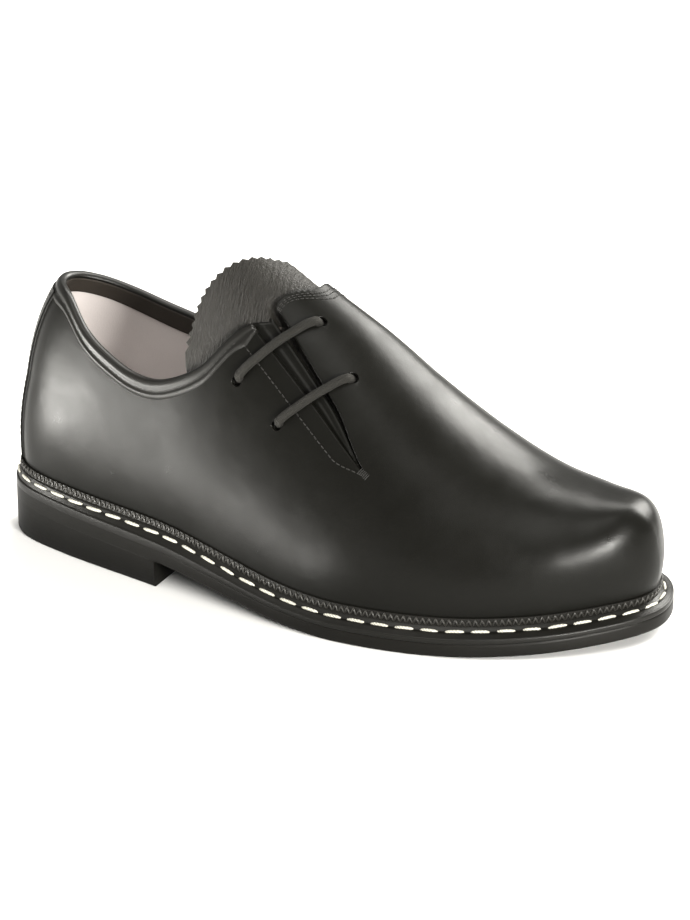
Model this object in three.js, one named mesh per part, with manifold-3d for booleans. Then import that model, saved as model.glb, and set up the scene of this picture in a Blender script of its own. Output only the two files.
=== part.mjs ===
// Side-laced welted walking shoe, right foot, standing empty on its sole.
// Millimetres. +X runs to the toe, -Y to the outer (lateral) side, +Z up.
import * as THREE from "three";
import { mergeVertices } from "three/addons/utils/BufferGeometryUtils.js";
import Module from "manifold-3d";

const wasm = await Module();
wasm.setup();

// Driving dimensions of the sole
const soleLength = 236;
const ballWidth = 87;
const heelLength = 68;
const heelHeight = 9.2;
const heelWedge = 3.1;
const toeSpring = 4.2;
const outsoleThickness = 4.4;
const weltThickness = 2.3;
const weltCrown = 1.2;
const weltReach = 14;
const rimHeight = 4.2;
const rimThickness = 1.5;
const rimTaper = 0.5;
const soleEdgeRound = 0.8;

// Driving dimensions of the upper
const instepHeight = 94;
const quarterHeight = 74;
const wallThickness = 2;
const heelMargin = 3.4;
const sideMargin = 5.6;
const toeMargin = 5.6;
const backLean = 11;
const backTuck = 6;
const backBulge = 1;
const toeBulge = 3.6;
const throatPlace = 116;
const throatSlant = 9;
const slitPlace = 98;
const slitWidth = 9;
const slitTopHeight = 84;
const slitEndPlace = 143;
const slitEndHeight = 49;
const slitEndWidth = 1.2;
const bindingWidth = 6;
const bindingProud = 0.6;
const bindingEnd = 104;
const stripWidth = 15;
const stripThickness = 0.9;

// Driving dimensions of the tongue, insole and laces
const tongueThickness = 1.6;
const insoleThickness = 3;
const laceDiameter = 3.3;
const holeDiameter = 3.8;
const toothPitch = 3.3;
const toothDepth = 1.1;
const clearance = 0.3;

// Outline of the sole, each side as a share of the ball width
const soleOutline = [
  { share: 0, lateral: 0, medial: 0 },
  { share: 0.03, lateral: -0.155, medial: 0.15 },
  { share: 0.12, lateral: -0.255, medial: 0.265 },
  { share: 0.25, lateral: -0.34, medial: 0.295 },
  { share: 0.4, lateral: -0.435, medial: 0.28 },
  { share: 0.52, lateral: -0.49, medial: 0.335 },
  { share: 0.64, lateral: -0.5, medial: 0.44 },
  { share: 0.76, lateral: -0.445, medial: 0.5 },
  { share: 0.87, lateral: -0.315, medial: 0.465 },
  { share: 0.95, lateral: -0.145, medial: 0.37 },
  { share: 1, lateral: 0.093, medial: 0.093 },
];

// Sections of the last: ridge height as a share of the instep height, the ridge's
// sideways place as a share of the ball width, and how full the sides and the top are
const lastSections = [
  { share: 0, ridge: 1.14, shift: 0, side: 3.2, top: 2, bulge: 0.04 },
  { share: 0.12, ridge: 1.17, shift: 0, side: 3.2, top: 2, bulge: 0.06 },
  { share: 0.3, ridge: 1.15, shift: 0, side: 3, top: 2, bulge: 0.04 },
  { share: 0.42, ridge: 1.08, shift: 0.01, side: 2.5, top: 2, bulge: 0.02 },
  { share: 0.5, ridge: 1, shift: 0.01, side: 2.2, top: 2, bulge: 0.02 },
  { share: 0.58, ridge: 0.893, shift: 0.02, side: 2.2, top: 2, bulge: 0.02 },
  { share: 0.66, ridge: 0.735, shift: 0.03, side: 2.3, top: 2, bulge: 0.02 },
  { share: 0.74, ridge: 0.585, shift: 0.05, side: 2.4, top: 2.1, bulge: 0.03 },
  { share: 0.82, ridge: 0.463, shift: 0.07, side: 2.5, top: 2.2, bulge: 0.03 },
  { share: 0.9, ridge: 0.39, shift: 0.09, side: 2.5, top: 2.2, bulge: 0.02 },
  { share: 0.96, ridge: 0.348, shift: 0.095, side: 2.4, top: 2.2, bulge: 0.01 },
  { share: 1, ridge: 0.19, shift: 0.093, side: 2.2, top: 2, bulge: 0 },
];

// Collar line: height above the welt as a share of the quarter height, along the sole
const collarLine = [
  { share: 0, lateral: 1, medial: 1 },
  { share: 0.085, lateral: 0.99, medial: 0.98 },
  { share: 0.11, lateral: 0.97, medial: 0.95 },
  { share: 0.154, lateral: 0.84, medial: 0.89 },
  { share: 0.2, lateral: 0.77, medial: 0.84 },
  { share: 0.263, lateral: 0.725, medial: 0.8 },
  { share: 0.318, lateral: 0.8, medial: 0.81 },
  { share: 0.36, lateral: 0.9, medial: 0.86 },
  { share: 0.416, lateral: 1.127, medial: 0.97 },
  { share: 0.453, lateral: 1.153, medial: 1.05 },
  { share: 0.52, lateral: 1.16, medial: 1.14 },
  { share: 1, lateral: 1.16, medial: 1.14 },
];

// Rim of the tongue on the last: share along the shoe, turn round it, and where it is pinked
const tongueRim = [
  { share: 0.303, turn: -0.58, pinked: true },
  { share: 0.302, turn: -0.49, pinked: true },
  { share: 0.316, turn: -0.39, pinked: true },
  { share: 0.342, turn: -0.29, pinked: true },
  { share: 0.38, turn: -0.165, pinked: true },
  { share: 0.415, turn: -0.055, pinked: true },
  { share: 0.455, turn: 0.03, pinked: true },
  { share: 0.515, turn: 0.04, pinked: false },
  { share: 0.57, turn: -0.12, pinked: false },
  { share: 0.61, turn: -0.36, pinked: false },
  { share: 0.645, turn: -0.52, pinked: false },
  { share: 0.65, turn: -0.6, pinked: false },
  { share: 0.6, turn: -0.64, pinked: false },
  { share: 0.5, turn: -0.65, pinked: false },
  { share: 0.4, turn: -0.66, pinked: false },
  { share: 0.33, turn: -0.65, pinked: false },
];
const tongueMiddle = { share: 0.47, turn: -0.36 };

// Lace bars: the punched holes that each one spans, behind and before the slit
const laceBars = [
  { name: "lace_bar_top", back: { share: 0.413, turn: -0.563 }, front: { share: 0.52, turn: -0.188 } },
  { name: "lace_bar_low", back: { share: 0.487, turn: -0.6 }, front: { share: 0.583, turn: -0.3 } },
];

const stationCount = 44;
const rowCount = 13;

const lerp = THREE.MathUtils.lerp;
const smooth = (low, high, value) => THREE.MathUtils.smoothstep(value, low, high);

// Reads one column of a table as a smooth function of the share along the shoe.
// The knots are spaced by angle, so a column that falls to nothing ends in a round nose.
const angleOf = (share) => Math.acos(1 - 2 * THREE.MathUtils.clamp(share, 0, 1)) / Math.PI;

function columnCurve(table, column, spacing = angleOf) {
  const knots = table.map((row) => spacing(row.share));
  const values = table.map((row) => row[column]);
  const last = knots.length - 1;
  const steep = (i) => (values[i + 1] - values[i]) / (knots[i + 1] - knots[i]);
  const slopes = knots.map((knot, i) => {
    if (i === 0) return steep(0);
    if (i === last) return steep(last - 1);
    const before = knot - knots[i - 1];
    const after = knots[i + 1] - knot;
    return (steep(i - 1) * after + steep(i) * before) / (before + after);
  });
  return (share) => {
    const at = THREE.MathUtils.clamp(spacing(share), knots[0], knots[last]);
    let i = 0;
    while (i < last - 1 && at > knots[i + 1]) i += 1;
    const span = knots[i + 1] - knots[i];
    const t = (at - knots[i]) / span;
    const rise = values[i + 1] - values[i];
    const a = slopes[i] * span - rise;
    const b = rise - slopes[i + 1] * span;
    return values[i] + rise * t + t * (1 - t) * (a * (1 - t) + b * t);
  };
}

const plainShare = (share) => share;
const lateralEdge = columnCurve(soleOutline, "lateral");
const medialEdge = columnCurve(soleOutline, "medial");
const section = Object.fromEntries(
  ["ridge", "shift", "side", "top", "bulge"].map((name) => [name, columnCurve(lastSections, name)]),
);
const collarSide = {
  lateral: columnCurve(collarLine, "lateral", plainShare),
  medial: columnCurve(collarLine, "medial", plainShare),
};

// Underside of the outsole over the floor: heel seat, arch, flat ball and toe spring
const ballBack = 0.6;
const ballFront = 0.7;
const springPower = 1.8;
function soleRise(share) {
  const breast = heelLength / soleLength;
  if (share < breast) return heelHeight + heelWedge * (1 - share / breast);
  if (share < ballBack) {
    const t = (share - breast) / (ballBack - breast);
    const slope = (-heelWedge / breast) * (ballBack - breast);
    const eased = 1 - 3 * t * t + 2 * t * t * t;
    return heelHeight * eased + slope * t * (1 - t) * (1 - t);
  }
  if (share < ballFront) return 0;
  return toeSpring * ((share - ballFront) / (1 - ballFront)) ** springPower;
}

const weltTop = (share) => soleRise(share) + outsoleThickness + weltThickness + weltCrown;

// A point of the sole's outline pulled in by a margin, which fades out towards each end
const toeBoxStart = 0.72;
const nosePull = ballWidth * 0.3;
function outlinePoint(share, side, inset) {
  const edges = [lateralEdge(share) * ballWidth, medialEdge(share) * ballWidth];
  const half = (edges[1] - edges[0]) / 2 / nosePull;
  const pull = half / (1 + half ** 4) ** 0.25;
  const y = side < 0 ? edges[0] + inset.side * pull : edges[1] - inset.side * pull;
  const x = lerp(inset.heel, soleLength - inset.toe, share);
  return new THREE.Vector2(x, y);
}

const evenInset = (depth) => ({ heel: depth, side: depth, toe: depth });
const upperInset = (share) => ({
  heel: heelMargin,
  toe: toeMargin,
  side: lerp(heelMargin, sideMargin, smooth(0, 0.35, share)),
});

// Outward direction of the feather line in plan
function outlineNormal(share, side) {
  if (share === 1) return new THREE.Vector2(1, 0);
  const step = 1e-4;
  const inset = upperInset(share);
  const ahead = outlinePoint(Math.min(share + step, 1), side, inset);
  const along = ahead.sub(outlinePoint(share - step, side, inset)).normalize();
  return new THREE.Vector2(-side * along.y, side * along.x);
}

// Surface of the last: turn runs from -1 at the lateral feather over 0 at the ridge to 1
function lastPoint(share, turn) {
  const side = turn < 0 ? -1 : 1;
  const feather = outlinePoint(share, side, upperInset(share));
  const arc = ((1 - Math.abs(turn)) * Math.PI) / 2;
  const up = Math.sin(arc) ** (2 / section.top(share));
  const swell = 1 + section.bulge(share) * 6.75 * up * (1 - up) ** 2;
  const out = Math.max(Math.cos(arc), 0) ** (2 / section.side(share)) * swell;
  const ridgeY = section.shift(share) * ballWidth;
  const height = section.ridge(share) * instepHeight * up;
  const back = (1 - smooth(0, 0.5, share)) * leanAt(height);
  const puff = toeBulge * smooth(toeBoxStart, 0.97, share);
  const facing = share > toeBoxStart ? outlineNormal(share, side) : new THREE.Vector2();
  return new THREE.Vector3(
    feather.x + back + facing.x * puff * Math.sin((Math.PI / 2) * up),
    lerp(ridgeY, feather.y, out) + facing.y * puff * Math.sin(Math.PI * up),
    weltTop(feather.x / soleLength) + height,
  );
}

function leanAt(height) {
  const share = height / quarterHeight;
  const bulge = backBulge * Math.sin(Math.PI * THREE.MathUtils.clamp(share * 2, 0, 1));
  return backLean * share ** 2 + backTuck * Math.min(share, 1) ** 6 - bulge;
}

// Outward direction of the last, kept level along the feather line
function lastNormal(share, turn) {
  const step = 1e-4;
  const s0 = Math.max(share - step, 0);
  const s1 = Math.min(share + step, 1);
  const sum = new THREE.Vector3();
  const atEnd = share === 0 || share === 1;
  for (const t of atEnd ? [turn, -turn] : [turn]) {
    const t0 = Math.max(t - step, -1);
    const t1 = Math.min(t + step, 1);
    const along = lastPoint(s1, t).sub(lastPoint(s0, t));
    const over = lastPoint((s0 + s1) / 2, t1).sub(lastPoint((s0 + s1) / 2, t0));
    sum.add(over.cross(along).negate().normalize());
  }
  if (atEnd) sum.y = 0;
  if (Math.abs(turn) === 1) sum.z = 0;
  return sum.normalize();
}

// Turns a closed mesh into a solid and a solid back into a mesh
function solidFrom(vertices, faces) {
  const geometry = new THREE.BufferGeometry();
  const flat = vertices.flatMap((v) => [v.x, v.y, v.z]);
  geometry.setAttribute("position", new THREE.Float32BufferAttribute(flat, 3));
  geometry.setIndex(faces.flat());
  return solidOf(geometry);
}

function solidOf(geometry) {
  const plain = geometry.clone();
  plain.deleteAttribute("normal");
  plain.deleteAttribute("uv");
  const merged = mergeVertices(plain, 1e-4);
  const index = merged.index.array;
  const kept = [];
  for (let i = 0; i < index.length; i += 3) {
    const [a, b, c] = [index[i], index[i + 1], index[i + 2]];
    if (a !== b && b !== c && c !== a) kept.push(a, b, c);
  }
  const mesh = new wasm.Mesh({
    numProp: 3,
    vertProperties: new Float32Array(merged.attributes.position.array),
    triVerts: new Uint32Array(kept),
  });
  return new wasm.Manifold(mesh);
}

function meshOf(name, solid, material) {
  const made = solid.getMesh();
  const geometry = new THREE.BufferGeometry();
  geometry.setAttribute("position", new THREE.BufferAttribute(made.vertProperties, 3));
  geometry.setIndex(new THREE.BufferAttribute(made.triVerts, 1));
  const shaded = geometry.toNonIndexed();
  shaded.computeVertexNormals();
  const mesh = new THREE.Mesh(shaded, material);
  mesh.name = name;
  return mesh;
}

const stations = Array.from({ length: stationCount + 1 }, (_, i) =>
  i === stationCount ? 1 : (1 - Math.cos((Math.PI * i) / stationCount)) / 2,
);

// Skins a stack of rings that all run round the same stations, closed by strips
// from the lateral to the medial side at the first and the last ring
function stackSolid(rings) {
  const around = rings[0].length;
  const faces = [];
  for (let r = 0; r + 1 < rings.length; r += 1) {
    for (let i = 0; i < around; i += 1) {
      const next = (i + 1) % around;
      const [a, b] = [r * around + i, r * around + next];
      faces.push([a, b, b + around], [a, b + around, a + around]);
    }
  }
  const top = (rings.length - 1) * around;
  for (let i = 0; i + 1 < around / 2; i += 1) {
    const [l0, l1] = [i, i + 1];
    const [m0, m1] = [around - 1 - i, around - 2 - i];
    faces.push([l0, m0, m1], [l0, m1, l1]);
    faces.push([top + l0, top + m1, top + m0], [top + l0, top + l1, top + m1]);
  }
  return solidFrom(rings.flat(), faces);
}

// Skins rings that follow each other back to the first, as a section swept round the shoe
function loopSolid(rings) {
  const around = rings[0].length;
  const faces = [];
  rings.forEach((ring, r) => {
    const above = (r + 1) % rings.length;
    for (let i = 0; i < around; i += 1) {
      const next = (i + 1) % around;
      const [a, b] = [r * around + i, r * around + next];
      const [c, d] = [above * around + next, above * around + i];
      faces.push([a, b, c], [a, c, d]);
    }
  });
  return solidFrom(rings.flat(), faces);
}

// One ring: heel to toe along the lateral side and back along the medial side
function ringOf(point, shares = stations) {
  const lateral = shares.map((share) => point(share, -1));
  const medial = shares.map((share) => point(share, 1)).reverse();
  return [...lateral, ...medial];
}

// A level ring round the sole, pulled in by an inset and lifted over the outsole's underside
function soleRing(inset, lift, shares = stations) {
  return ringOf((share, side) => {
    const at = typeof inset === "number" ? evenInset(inset) : inset(share);
    const flat = outlinePoint(share, side, at);
    return new THREE.Vector3(flat.x, flat.y, soleRise(flat.x / soleLength) + lift);
  }, shares);
}

const grownInset = (by) => (share) => {
  const inset = upperInset(share);
  return { heel: inset.heel + by, side: inset.side + by, toe: inset.toe + by };
};

// A point beside the last at a height over the welt, moved straight out by an offset
function wallPoint(share, side, height, offset) {
  const up = height / (section.ridge(share) * instepHeight);
  const arc = Math.asin(up ** (section.top(share) / 2));
  const turn = side * (1 - (2 * arc) / Math.PI);
  const out = lastNormal(share, turn).setZ(0).normalize();
  return lastPoint(share, turn).addScaledVector(out, offset);
}

const wallRing = (height, offset) => ringOf((share, side) => wallPoint(share, side, height, offset));

// The last as a solid, grown or shrunk by an offset, with its floor lowered by a drop
function lastSolid(offset, drop = 0) {
  const shifted = (share, turn) =>
    lastPoint(share, turn).addScaledVector(lastNormal(share, turn), offset);
  const lifts = Array.from({ length: rowCount + 1 }, (_, i) => i / rowCount);
  const rings = lifts.map((lift) => ringOf((share, side) => shifted(share, side * (1 - lift))));
  if (drop > 0) rings.unshift(rings[0].map((v) => v.clone().setZ(v.z - drop)));
  return stackSolid(rings);
}

// Height of the collar line over the floor
const collarBlend = 0.12;
function collarHeight(x, y) {
  const share = x / soleLength;
  const medial = smooth(-collarBlend, collarBlend, y / ballWidth);
  const height = lerp(collarSide.lateral(share), collarSide.medial(share), medial);
  return weltTop(Math.max(share, 0)) + height * quarterHeight;
}

// Front edge of the opening, which runs back where it comes down to the slit
const throatBlend = 0.2;
const throatAt = (y) => throatPlace - throatSlant * smooth(0, throatBlend, -y / ballWidth);

// Everything above the collar line lowered by a drop, from behind the heel to a front edge
const cutterBack = -20;
const cutterTop = 200;
const cutterColumns = 36;
const cutterRows = 12;
const cutterHalf = ballWidth * 0.7;
function aboveCollar(drop, frontAt) {
  const vertices = [];
  const faces = [];
  for (let i = 0; i <= cutterColumns; i += 1) {
    for (let j = 0; j <= cutterRows; j += 1) {
      const y = lerp(-cutterHalf, cutterHalf, j / cutterRows);
      const x = lerp(cutterBack, frontAt(y), i / cutterColumns);
      vertices.push(new THREE.Vector3(x, y, collarHeight(x, y) - drop));
      vertices.push(new THREE.Vector3(x, y, cutterTop));
    }
  }
  const at = (i, j, level) => (i * (cutterRows + 1) + j) * 2 + level;
  const quad = (a, b, c, d) => faces.push([a, b, c], [a, c, d]);
  for (let i = 0; i < cutterColumns; i += 1) {
    for (let j = 0; j < cutterRows; j += 1) {
      quad(at(i, j, 0), at(i, j + 1, 0), at(i + 1, j + 1, 0), at(i + 1, j, 0));
      quad(at(i, j, 1), at(i + 1, j, 1), at(i + 1, j + 1, 1), at(i, j + 1, 1));
    }
    const far = cutterRows;
    quad(at(i, 0, 0), at(i + 1, 0, 0), at(i + 1, 0, 1), at(i, 0, 1));
    quad(at(i, far, 0), at(i, far, 1), at(i + 1, far, 1), at(i + 1, far, 0));
  }
  for (let j = 0; j < cutterRows; j += 1) {
    const end = cutterColumns;
    quad(at(0, j, 0), at(0, j, 1), at(0, j + 1, 1), at(0, j + 1, 0));
    quad(at(end, j, 0), at(end, j + 1, 0), at(end, j + 1, 1), at(end, j, 1));
  }
  return solidFrom(vertices, faces);
}

// An outline in the side view, as X and Z, run from one Y to another
function sidePrism(points, fromY, toY) {
  const shape = new THREE.Shape(points.map(([x, z]) => new THREE.Vector2(x, z)));
  const geometry = new THREE.ExtrudeGeometry(shape, { depth: toY - fromY, bevelEnabled: false });
  geometry.rotateX(Math.PI / 2);
  geometry.translate(0, toY, 0);
  return solidOf(geometry);
}

// The slit down the lateral side, a narrow wedge that its two facings leave open
const slitReach = 1.4;
function slitCut() {
  const end = { x: slitEndPlace, z: weltTop(slitEndPlace / soleLength) + slitEndHeight };
  const top = weltTop(slitPlace / soleLength) + slitTopHeight;
  const back = [lerp(end.x, slitPlace, slitReach), lerp(end.z, top, slitReach)];
  const front = [lerp(end.x, slitPlace + slitWidth, slitReach), lerp(end.z, top, slitReach)];
  const points = [[end.x, end.z], [end.x + slitEndWidth, end.z], front, back];
  return sidePrism(points, -ballWidth, -slitWidth / 2);
}

// The punched hole of one lace end, square to the upper
const holeSides = 10;
function holeCut(at) {
  const length = 4 * wallThickness;
  const geometry = new THREE.CylinderGeometry(holeDiameter / 2, holeDiameter / 2, length, holeSides);
  const turned = new THREE.Quaternion().setFromUnitVectors(
    new THREE.Vector3(0, 1, 0),
    lastNormal(at.share, at.turn),
  );
  geometry.applyQuaternion(turned);
  const place = lastPoint(at.share, at.turn);
  geometry.translate(place.x, place.y, place.z);
  return solidOf(geometry);
}

// Outsole: one sheet with a softened lower edge, bent over heel seat, arch and ball
function outsoleSolid() {
  return stackSolid([
    soleRing(soleEdgeRound, 0),
    soleRing(0, soleEdgeRound),
    soleRing(0, outsoleThickness),
  ]);
}

// Heel block under the heel seat, cut off straight at the breast
const heelStations = 16;
function heelSolid() {
  const breast = heelLength / soleLength;
  const shares = Array.from({ length: heelStations + 1 }, (_, i) =>
    breast * (1 - Math.cos((Math.PI / 2) * (i / heelStations))),
  );
  const floorRing = (inset, height) => soleRing(inset, 0, shares).map((v) => v.setZ(height));
  return stackSolid([
    floorRing(soleEdgeRound, 0),
    floorRing(0, soleEdgeRound),
    soleRing(0, -clearance, shares),
  ]);
}

// Welt: a strip round the shoe with a sloping top and a rim that stands against the upper
function weltSolid() {
  const bottom = outsoleThickness + clearance;
  const edge = outsoleThickness + weltThickness;
  const crown = edge + weltCrown;
  const rimFoot = clearance + rimThickness;
  return loopSolid([
    soleRing(0, bottom),
    soleRing(0, edge - soleEdgeRound / 2),
    soleRing(soleEdgeRound / 2, edge),
    soleRing(grownInset(-rimFoot), crown),
    wallRing(rimHeight, rimFoot - rimTaper),
    wallRing(rimHeight, clearance),
    wallRing(rimHeight / 2, clearance),
    soleRing(grownInset(-clearance), crown - clearance),
    soleRing(grownInset(weltReach), crown - clearance),
    soleRing(grownInset(weltReach), bottom),
  ]);
}

// Insole: its plug fills the welt's ring, and its top lies on the welt inside the upper
function insoleSolid() {
  const crown = outsoleThickness + weltThickness + weltCrown;
  const plug = grownInset(weltReach + clearance);
  return stackSolid([
    soleRing(plug, outsoleThickness + clearance),
    soleRing(plug, crown),
    wallRing(0, -wallThickness - clearance),
    wallRing(insoleThickness, -wallThickness - clearance),
  ]);
}

const inside = () => lastSolid(-wallThickness, weltReach);

// Upper: the hollow wall, open underneath, at the collar, the throat and the slit
function upperSolid() {
  const step = aboveCollar(bindingWidth + clearance, () => bindingEnd + clearance);
  let wall = lastSolid(0).subtract(inside());
  wall = wall.subtract(aboveCollar(0, throatAt)).subtract(step).subtract(slitCut());
  for (const bar of laceBars) {
    wall = wall.subtract(holeCut(bar.back)).subtract(holeCut(bar.front));
  }
  return wall;
}

// Binding: the folded band along the collar, a little prouder than the wall
function bindingSolid() {
  const band = lastSolid(bindingProud).subtract(inside());
  const kept = aboveCollar(bindingWidth, () => bindingEnd).subtract(aboveCollar(0, throatAt));
  return band.intersect(kept).subtract(slitCut());
}

// Heel strip: the narrow stay up the back, laid on the upper between rim and binding
function heelStripSolid() {
  const strip = lastSolid(clearance + stripThickness).subtract(lastSolid(clearance, weltReach));
  const low = weltTop(0) + rimHeight + clearance;
  const high = weltTop(0) + 2 * quarterHeight;
  const reach = soleLength / 4;
  const box = sidePrism(
    [[-reach, low], [reach, low], [reach, high], [-reach, high]],
    -stripWidth / 2,
    stripWidth / 2,
  );
  return strip.intersect(box).subtract(aboveCollar(bindingWidth + clearance, () => throatPlace));
}

// Tongue: a sheet under the slit that follows the inside of the upper and fans out above it
const tongueRings = 5;
const rimSteps = 24;
function tongueSolid() {
  const curve = new THREE.CatmullRomCurve3(
    tongueRim.map((row) => new THREE.Vector3(row.share, row.turn, 0)),
    true,
    "centripetal",
  );
  const pinkedShare = tongueRim.filter((row) => row.pinked).length / tongueRim.length;
  const onLast = (share, turn, depth) =>
    lastPoint(share, turn).addScaledVector(lastNormal(share, turn), -wallThickness - clearance - depth);
  const pinkedPoints = Array.from({ length: rimSteps * 4 + 1 }, (_, i) =>
    curve.getPoint((pinkedShare * i) / (rimSteps * 4)),
  );
  const lengths = [0];
  pinkedPoints.slice(1).forEach((point, i) => {
    const before = pinkedPoints[i];
    const step = onLast(point.x, point.y, 0).distanceTo(onLast(before.x, before.y, 0));
    lengths.push(lengths[i] + step);
  });
  const teeth = Math.max(1, Math.round(lengths.at(-1) / toothPitch));
  const shareAt = (length) => {
    const i = Math.max(1, lengths.findIndex((value) => value >= length - 1e-6));
    const part = (length - lengths[i - 1]) / (lengths[i] - lengths[i - 1]);
    return (pinkedShare * (i - 1 + part)) / (rimSteps * 4);
  };
  const rim = [];
  for (let i = 0; i < teeth * 2; i += 1) {
    const flat = curve.getPoint(shareAt((lengths.at(-1) * i) / (teeth * 2)));
    rim.push({ flat, cut: i % 2 ? 0 : toothDepth });
  }
  for (let i = 0; i < rimSteps; i += 1) {
    rim.push({ flat: curve.getPoint(lerp(pinkedShare, 1, i / rimSteps)), cut: 0 });
  }
  const middle = onLast(tongueMiddle.share, tongueMiddle.turn, 0);
  const ringAt = (scale, depth) =>
    rim.map(({ flat, cut }) => {
      const reach = onLast(flat.x, flat.y, 0).distanceTo(middle);
      const out = scale * (1 - (scale === 1 ? cut / reach : 0));
      const share = lerp(tongueMiddle.share, flat.x, out);
      const turn = lerp(tongueMiddle.turn, flat.y, out);
      return onLast(share, turn, depth);
    });
  const scales = Array.from({ length: tongueRings + 1 }, (_, i) => Math.sqrt(i / tongueRings));
  const over = scales.map((scale) => ringAt(scale, 0));
  const under = scales.map((scale) => ringAt(scale, tongueThickness)).reverse();
  return loopSolid([...over, ...under]);
}

// One lace bar: the cord laid over the upper from hole to hole, its ends cut at the holes
const laceSides = 8;
const laceSteps = 12;
function laceSolid(bar) {
  const radius = laceDiameter / 2;
  const points = Array.from({ length: 7 }, (_, i) => {
    const share = lerp(bar.back.share, bar.front.share, i / 6);
    const turn = lerp(bar.back.turn, bar.front.turn, i / 6);
    return lastPoint(share, turn).addScaledVector(lastNormal(share, turn), radius + clearance);
  });
  const section = new THREE.Shape(
    Array.from({ length: laceSides }, (_, i) => {
      const angle = (2 * Math.PI * i) / laceSides;
      return new THREE.Vector2(radius * Math.cos(angle), radius * Math.sin(angle));
    }),
  );
  const path = new THREE.CatmullRomCurve3(points);
  const settings = { steps: laceSteps, extrudePath: path, bevelEnabled: false };
  return solidOf(new THREE.ExtrudeGeometry(section, settings));
}

const finish = (color, roughness) =>
  new THREE.MeshStandardMaterial({ color, roughness, metalness: 0 });
const blackLeather = finish(0x25251f, 0.38);
const bindingLeather = finish(0x1d1c1a, 0.32);
const tongueLeather = finish(0x3a3632, 0.62);
const blackRubber = finish(0x1c1a19, 0.45);
const insoleLeather = finish(0x8d8590, 0.7);
const cord = finish(0x1b1a19, 0.8);

const shoe = new THREE.Group();
shoe.add(
  meshOf("outsole", outsoleSolid(), blackRubber),
  meshOf("heel", heelSolid(), blackRubber),
  meshOf("welt", weltSolid(), blackLeather),
  meshOf("insole", insoleSolid(), insoleLeather),
  meshOf("upper", upperSolid(), blackLeather),
  meshOf("collar_binding", bindingSolid(), bindingLeather),
  meshOf("heel_strip", heelStripSolid(), blackLeather),
  meshOf("tongue", tongueSolid(), tongueLeather),
);
for (const bar of laceBars) shoe.add(meshOf(bar.name, laceSolid(bar), cord));

// The origin is on the floor under the middle of the whole shoe
const middle = new THREE.Box3().setFromObject(shoe).getCenter(new THREE.Vector3());
shoe.position.set(-middle.x, -middle.y, 0);

export default shoe;
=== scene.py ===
"""Looks of the side-laced welted walking shoe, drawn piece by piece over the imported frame.

The shoe stands on its sole with the toe towards +X and the laced side towards -Y. Its pieces are
drawn on the same last as the frame's solids, in millimetres, with X from the back of the heel,
Y from the centre line and Z from the floor, and are then set into the frame in metres.
"""
import math

import bpy
import numpy as np
from mathutils import Matrix, Vector


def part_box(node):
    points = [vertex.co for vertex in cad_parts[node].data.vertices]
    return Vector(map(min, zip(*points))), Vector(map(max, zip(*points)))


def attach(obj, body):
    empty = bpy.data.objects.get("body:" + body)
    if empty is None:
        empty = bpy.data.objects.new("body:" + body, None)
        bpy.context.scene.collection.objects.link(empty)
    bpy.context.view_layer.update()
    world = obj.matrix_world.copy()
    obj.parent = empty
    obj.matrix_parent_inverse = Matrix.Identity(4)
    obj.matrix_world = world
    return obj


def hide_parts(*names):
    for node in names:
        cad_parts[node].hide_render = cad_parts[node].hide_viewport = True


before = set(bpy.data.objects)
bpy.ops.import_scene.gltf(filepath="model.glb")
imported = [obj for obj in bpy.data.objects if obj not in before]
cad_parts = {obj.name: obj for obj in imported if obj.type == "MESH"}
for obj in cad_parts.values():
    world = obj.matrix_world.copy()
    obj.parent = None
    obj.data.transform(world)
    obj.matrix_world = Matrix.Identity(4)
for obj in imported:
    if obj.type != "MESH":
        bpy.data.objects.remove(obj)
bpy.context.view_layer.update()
MM = 0.001

# Driving sizes of the sole, in millimetres
SOLE_LENGTH = 236.0
BALL_WIDTH = 87.0
HEEL_LENGTH = 68.0
HEEL_HEIGHT = 9.2
HEEL_WEDGE = 3.1
TOE_SPRING = 4.2
OUTSOLE_THICKNESS = 4.4
WELT_THICKNESS = 2.3
WELT_CROWN = 1.2
WELT_REACH = 14.0
RIM_HEIGHT = 4.2
RIM_THICKNESS = 1.5
RIM_TAPER = 0.5
CLEARANCE = 0.3

# Driving sizes of the upper, in millimetres
INSTEP_HEIGHT = 94.0
QUARTER_HEIGHT = 74.0
WALL_THICKNESS = 2.0
LEATHER_THICKNESS = 1.2
HEEL_MARGIN = 3.4
SIDE_MARGIN = 5.6
TOE_MARGIN = 5.6
BACK_LEAN = 11.0
BACK_TUCK = 6.0
BACK_BULGE = 1.0
TOE_BULGE = 4.6
TOE_ROUNDING = 3.0
THROAT_PLACE = 116.0
THROAT_SLANT = 9.0
SLIT_PLACE = 98.0
SLIT_WIDTH = 9.0
SLIT_TOP_HEIGHT = 84.0
SLIT_END_PLACE = 144.8
SLIT_END_HEIGHT = 48.0
SLIT_END_WIDTH = 1.2
BINDING_WIDTH = 6.0
BINDING_END = 104.0
STRIP_WIDTH = 15.0
STRIP_THICKNESS = 0.9

# Driving sizes of the tongue, insole and laces, in millimetres
TONGUE_THICKNESS = 1.6
INSOLE_THICKNESS = 3.0
LACE_DIAMETER = 3.3
HOLE_DIAMETER = 3.8
TOOTH_PITCH = 3.3
TOOTH_DEPTH = 1.1

# Outline of the sole: share along it, lateral and medial edge as shares of the ball width
SOLE_OUTLINE = [
    (0, 0, 0),
    (0.03, -0.155, 0.15),
    (0.12, -0.255, 0.265),
    (0.25, -0.34, 0.295),
    (0.4, -0.435, 0.28),
    (0.52, -0.49, 0.335),
    (0.64, -0.5, 0.44),
    (0.76, -0.445, 0.5),
    (0.87, -0.315, 0.465),
    (0.95, -0.145, 0.37),
    (1, 0.093, 0.093),
]

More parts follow.
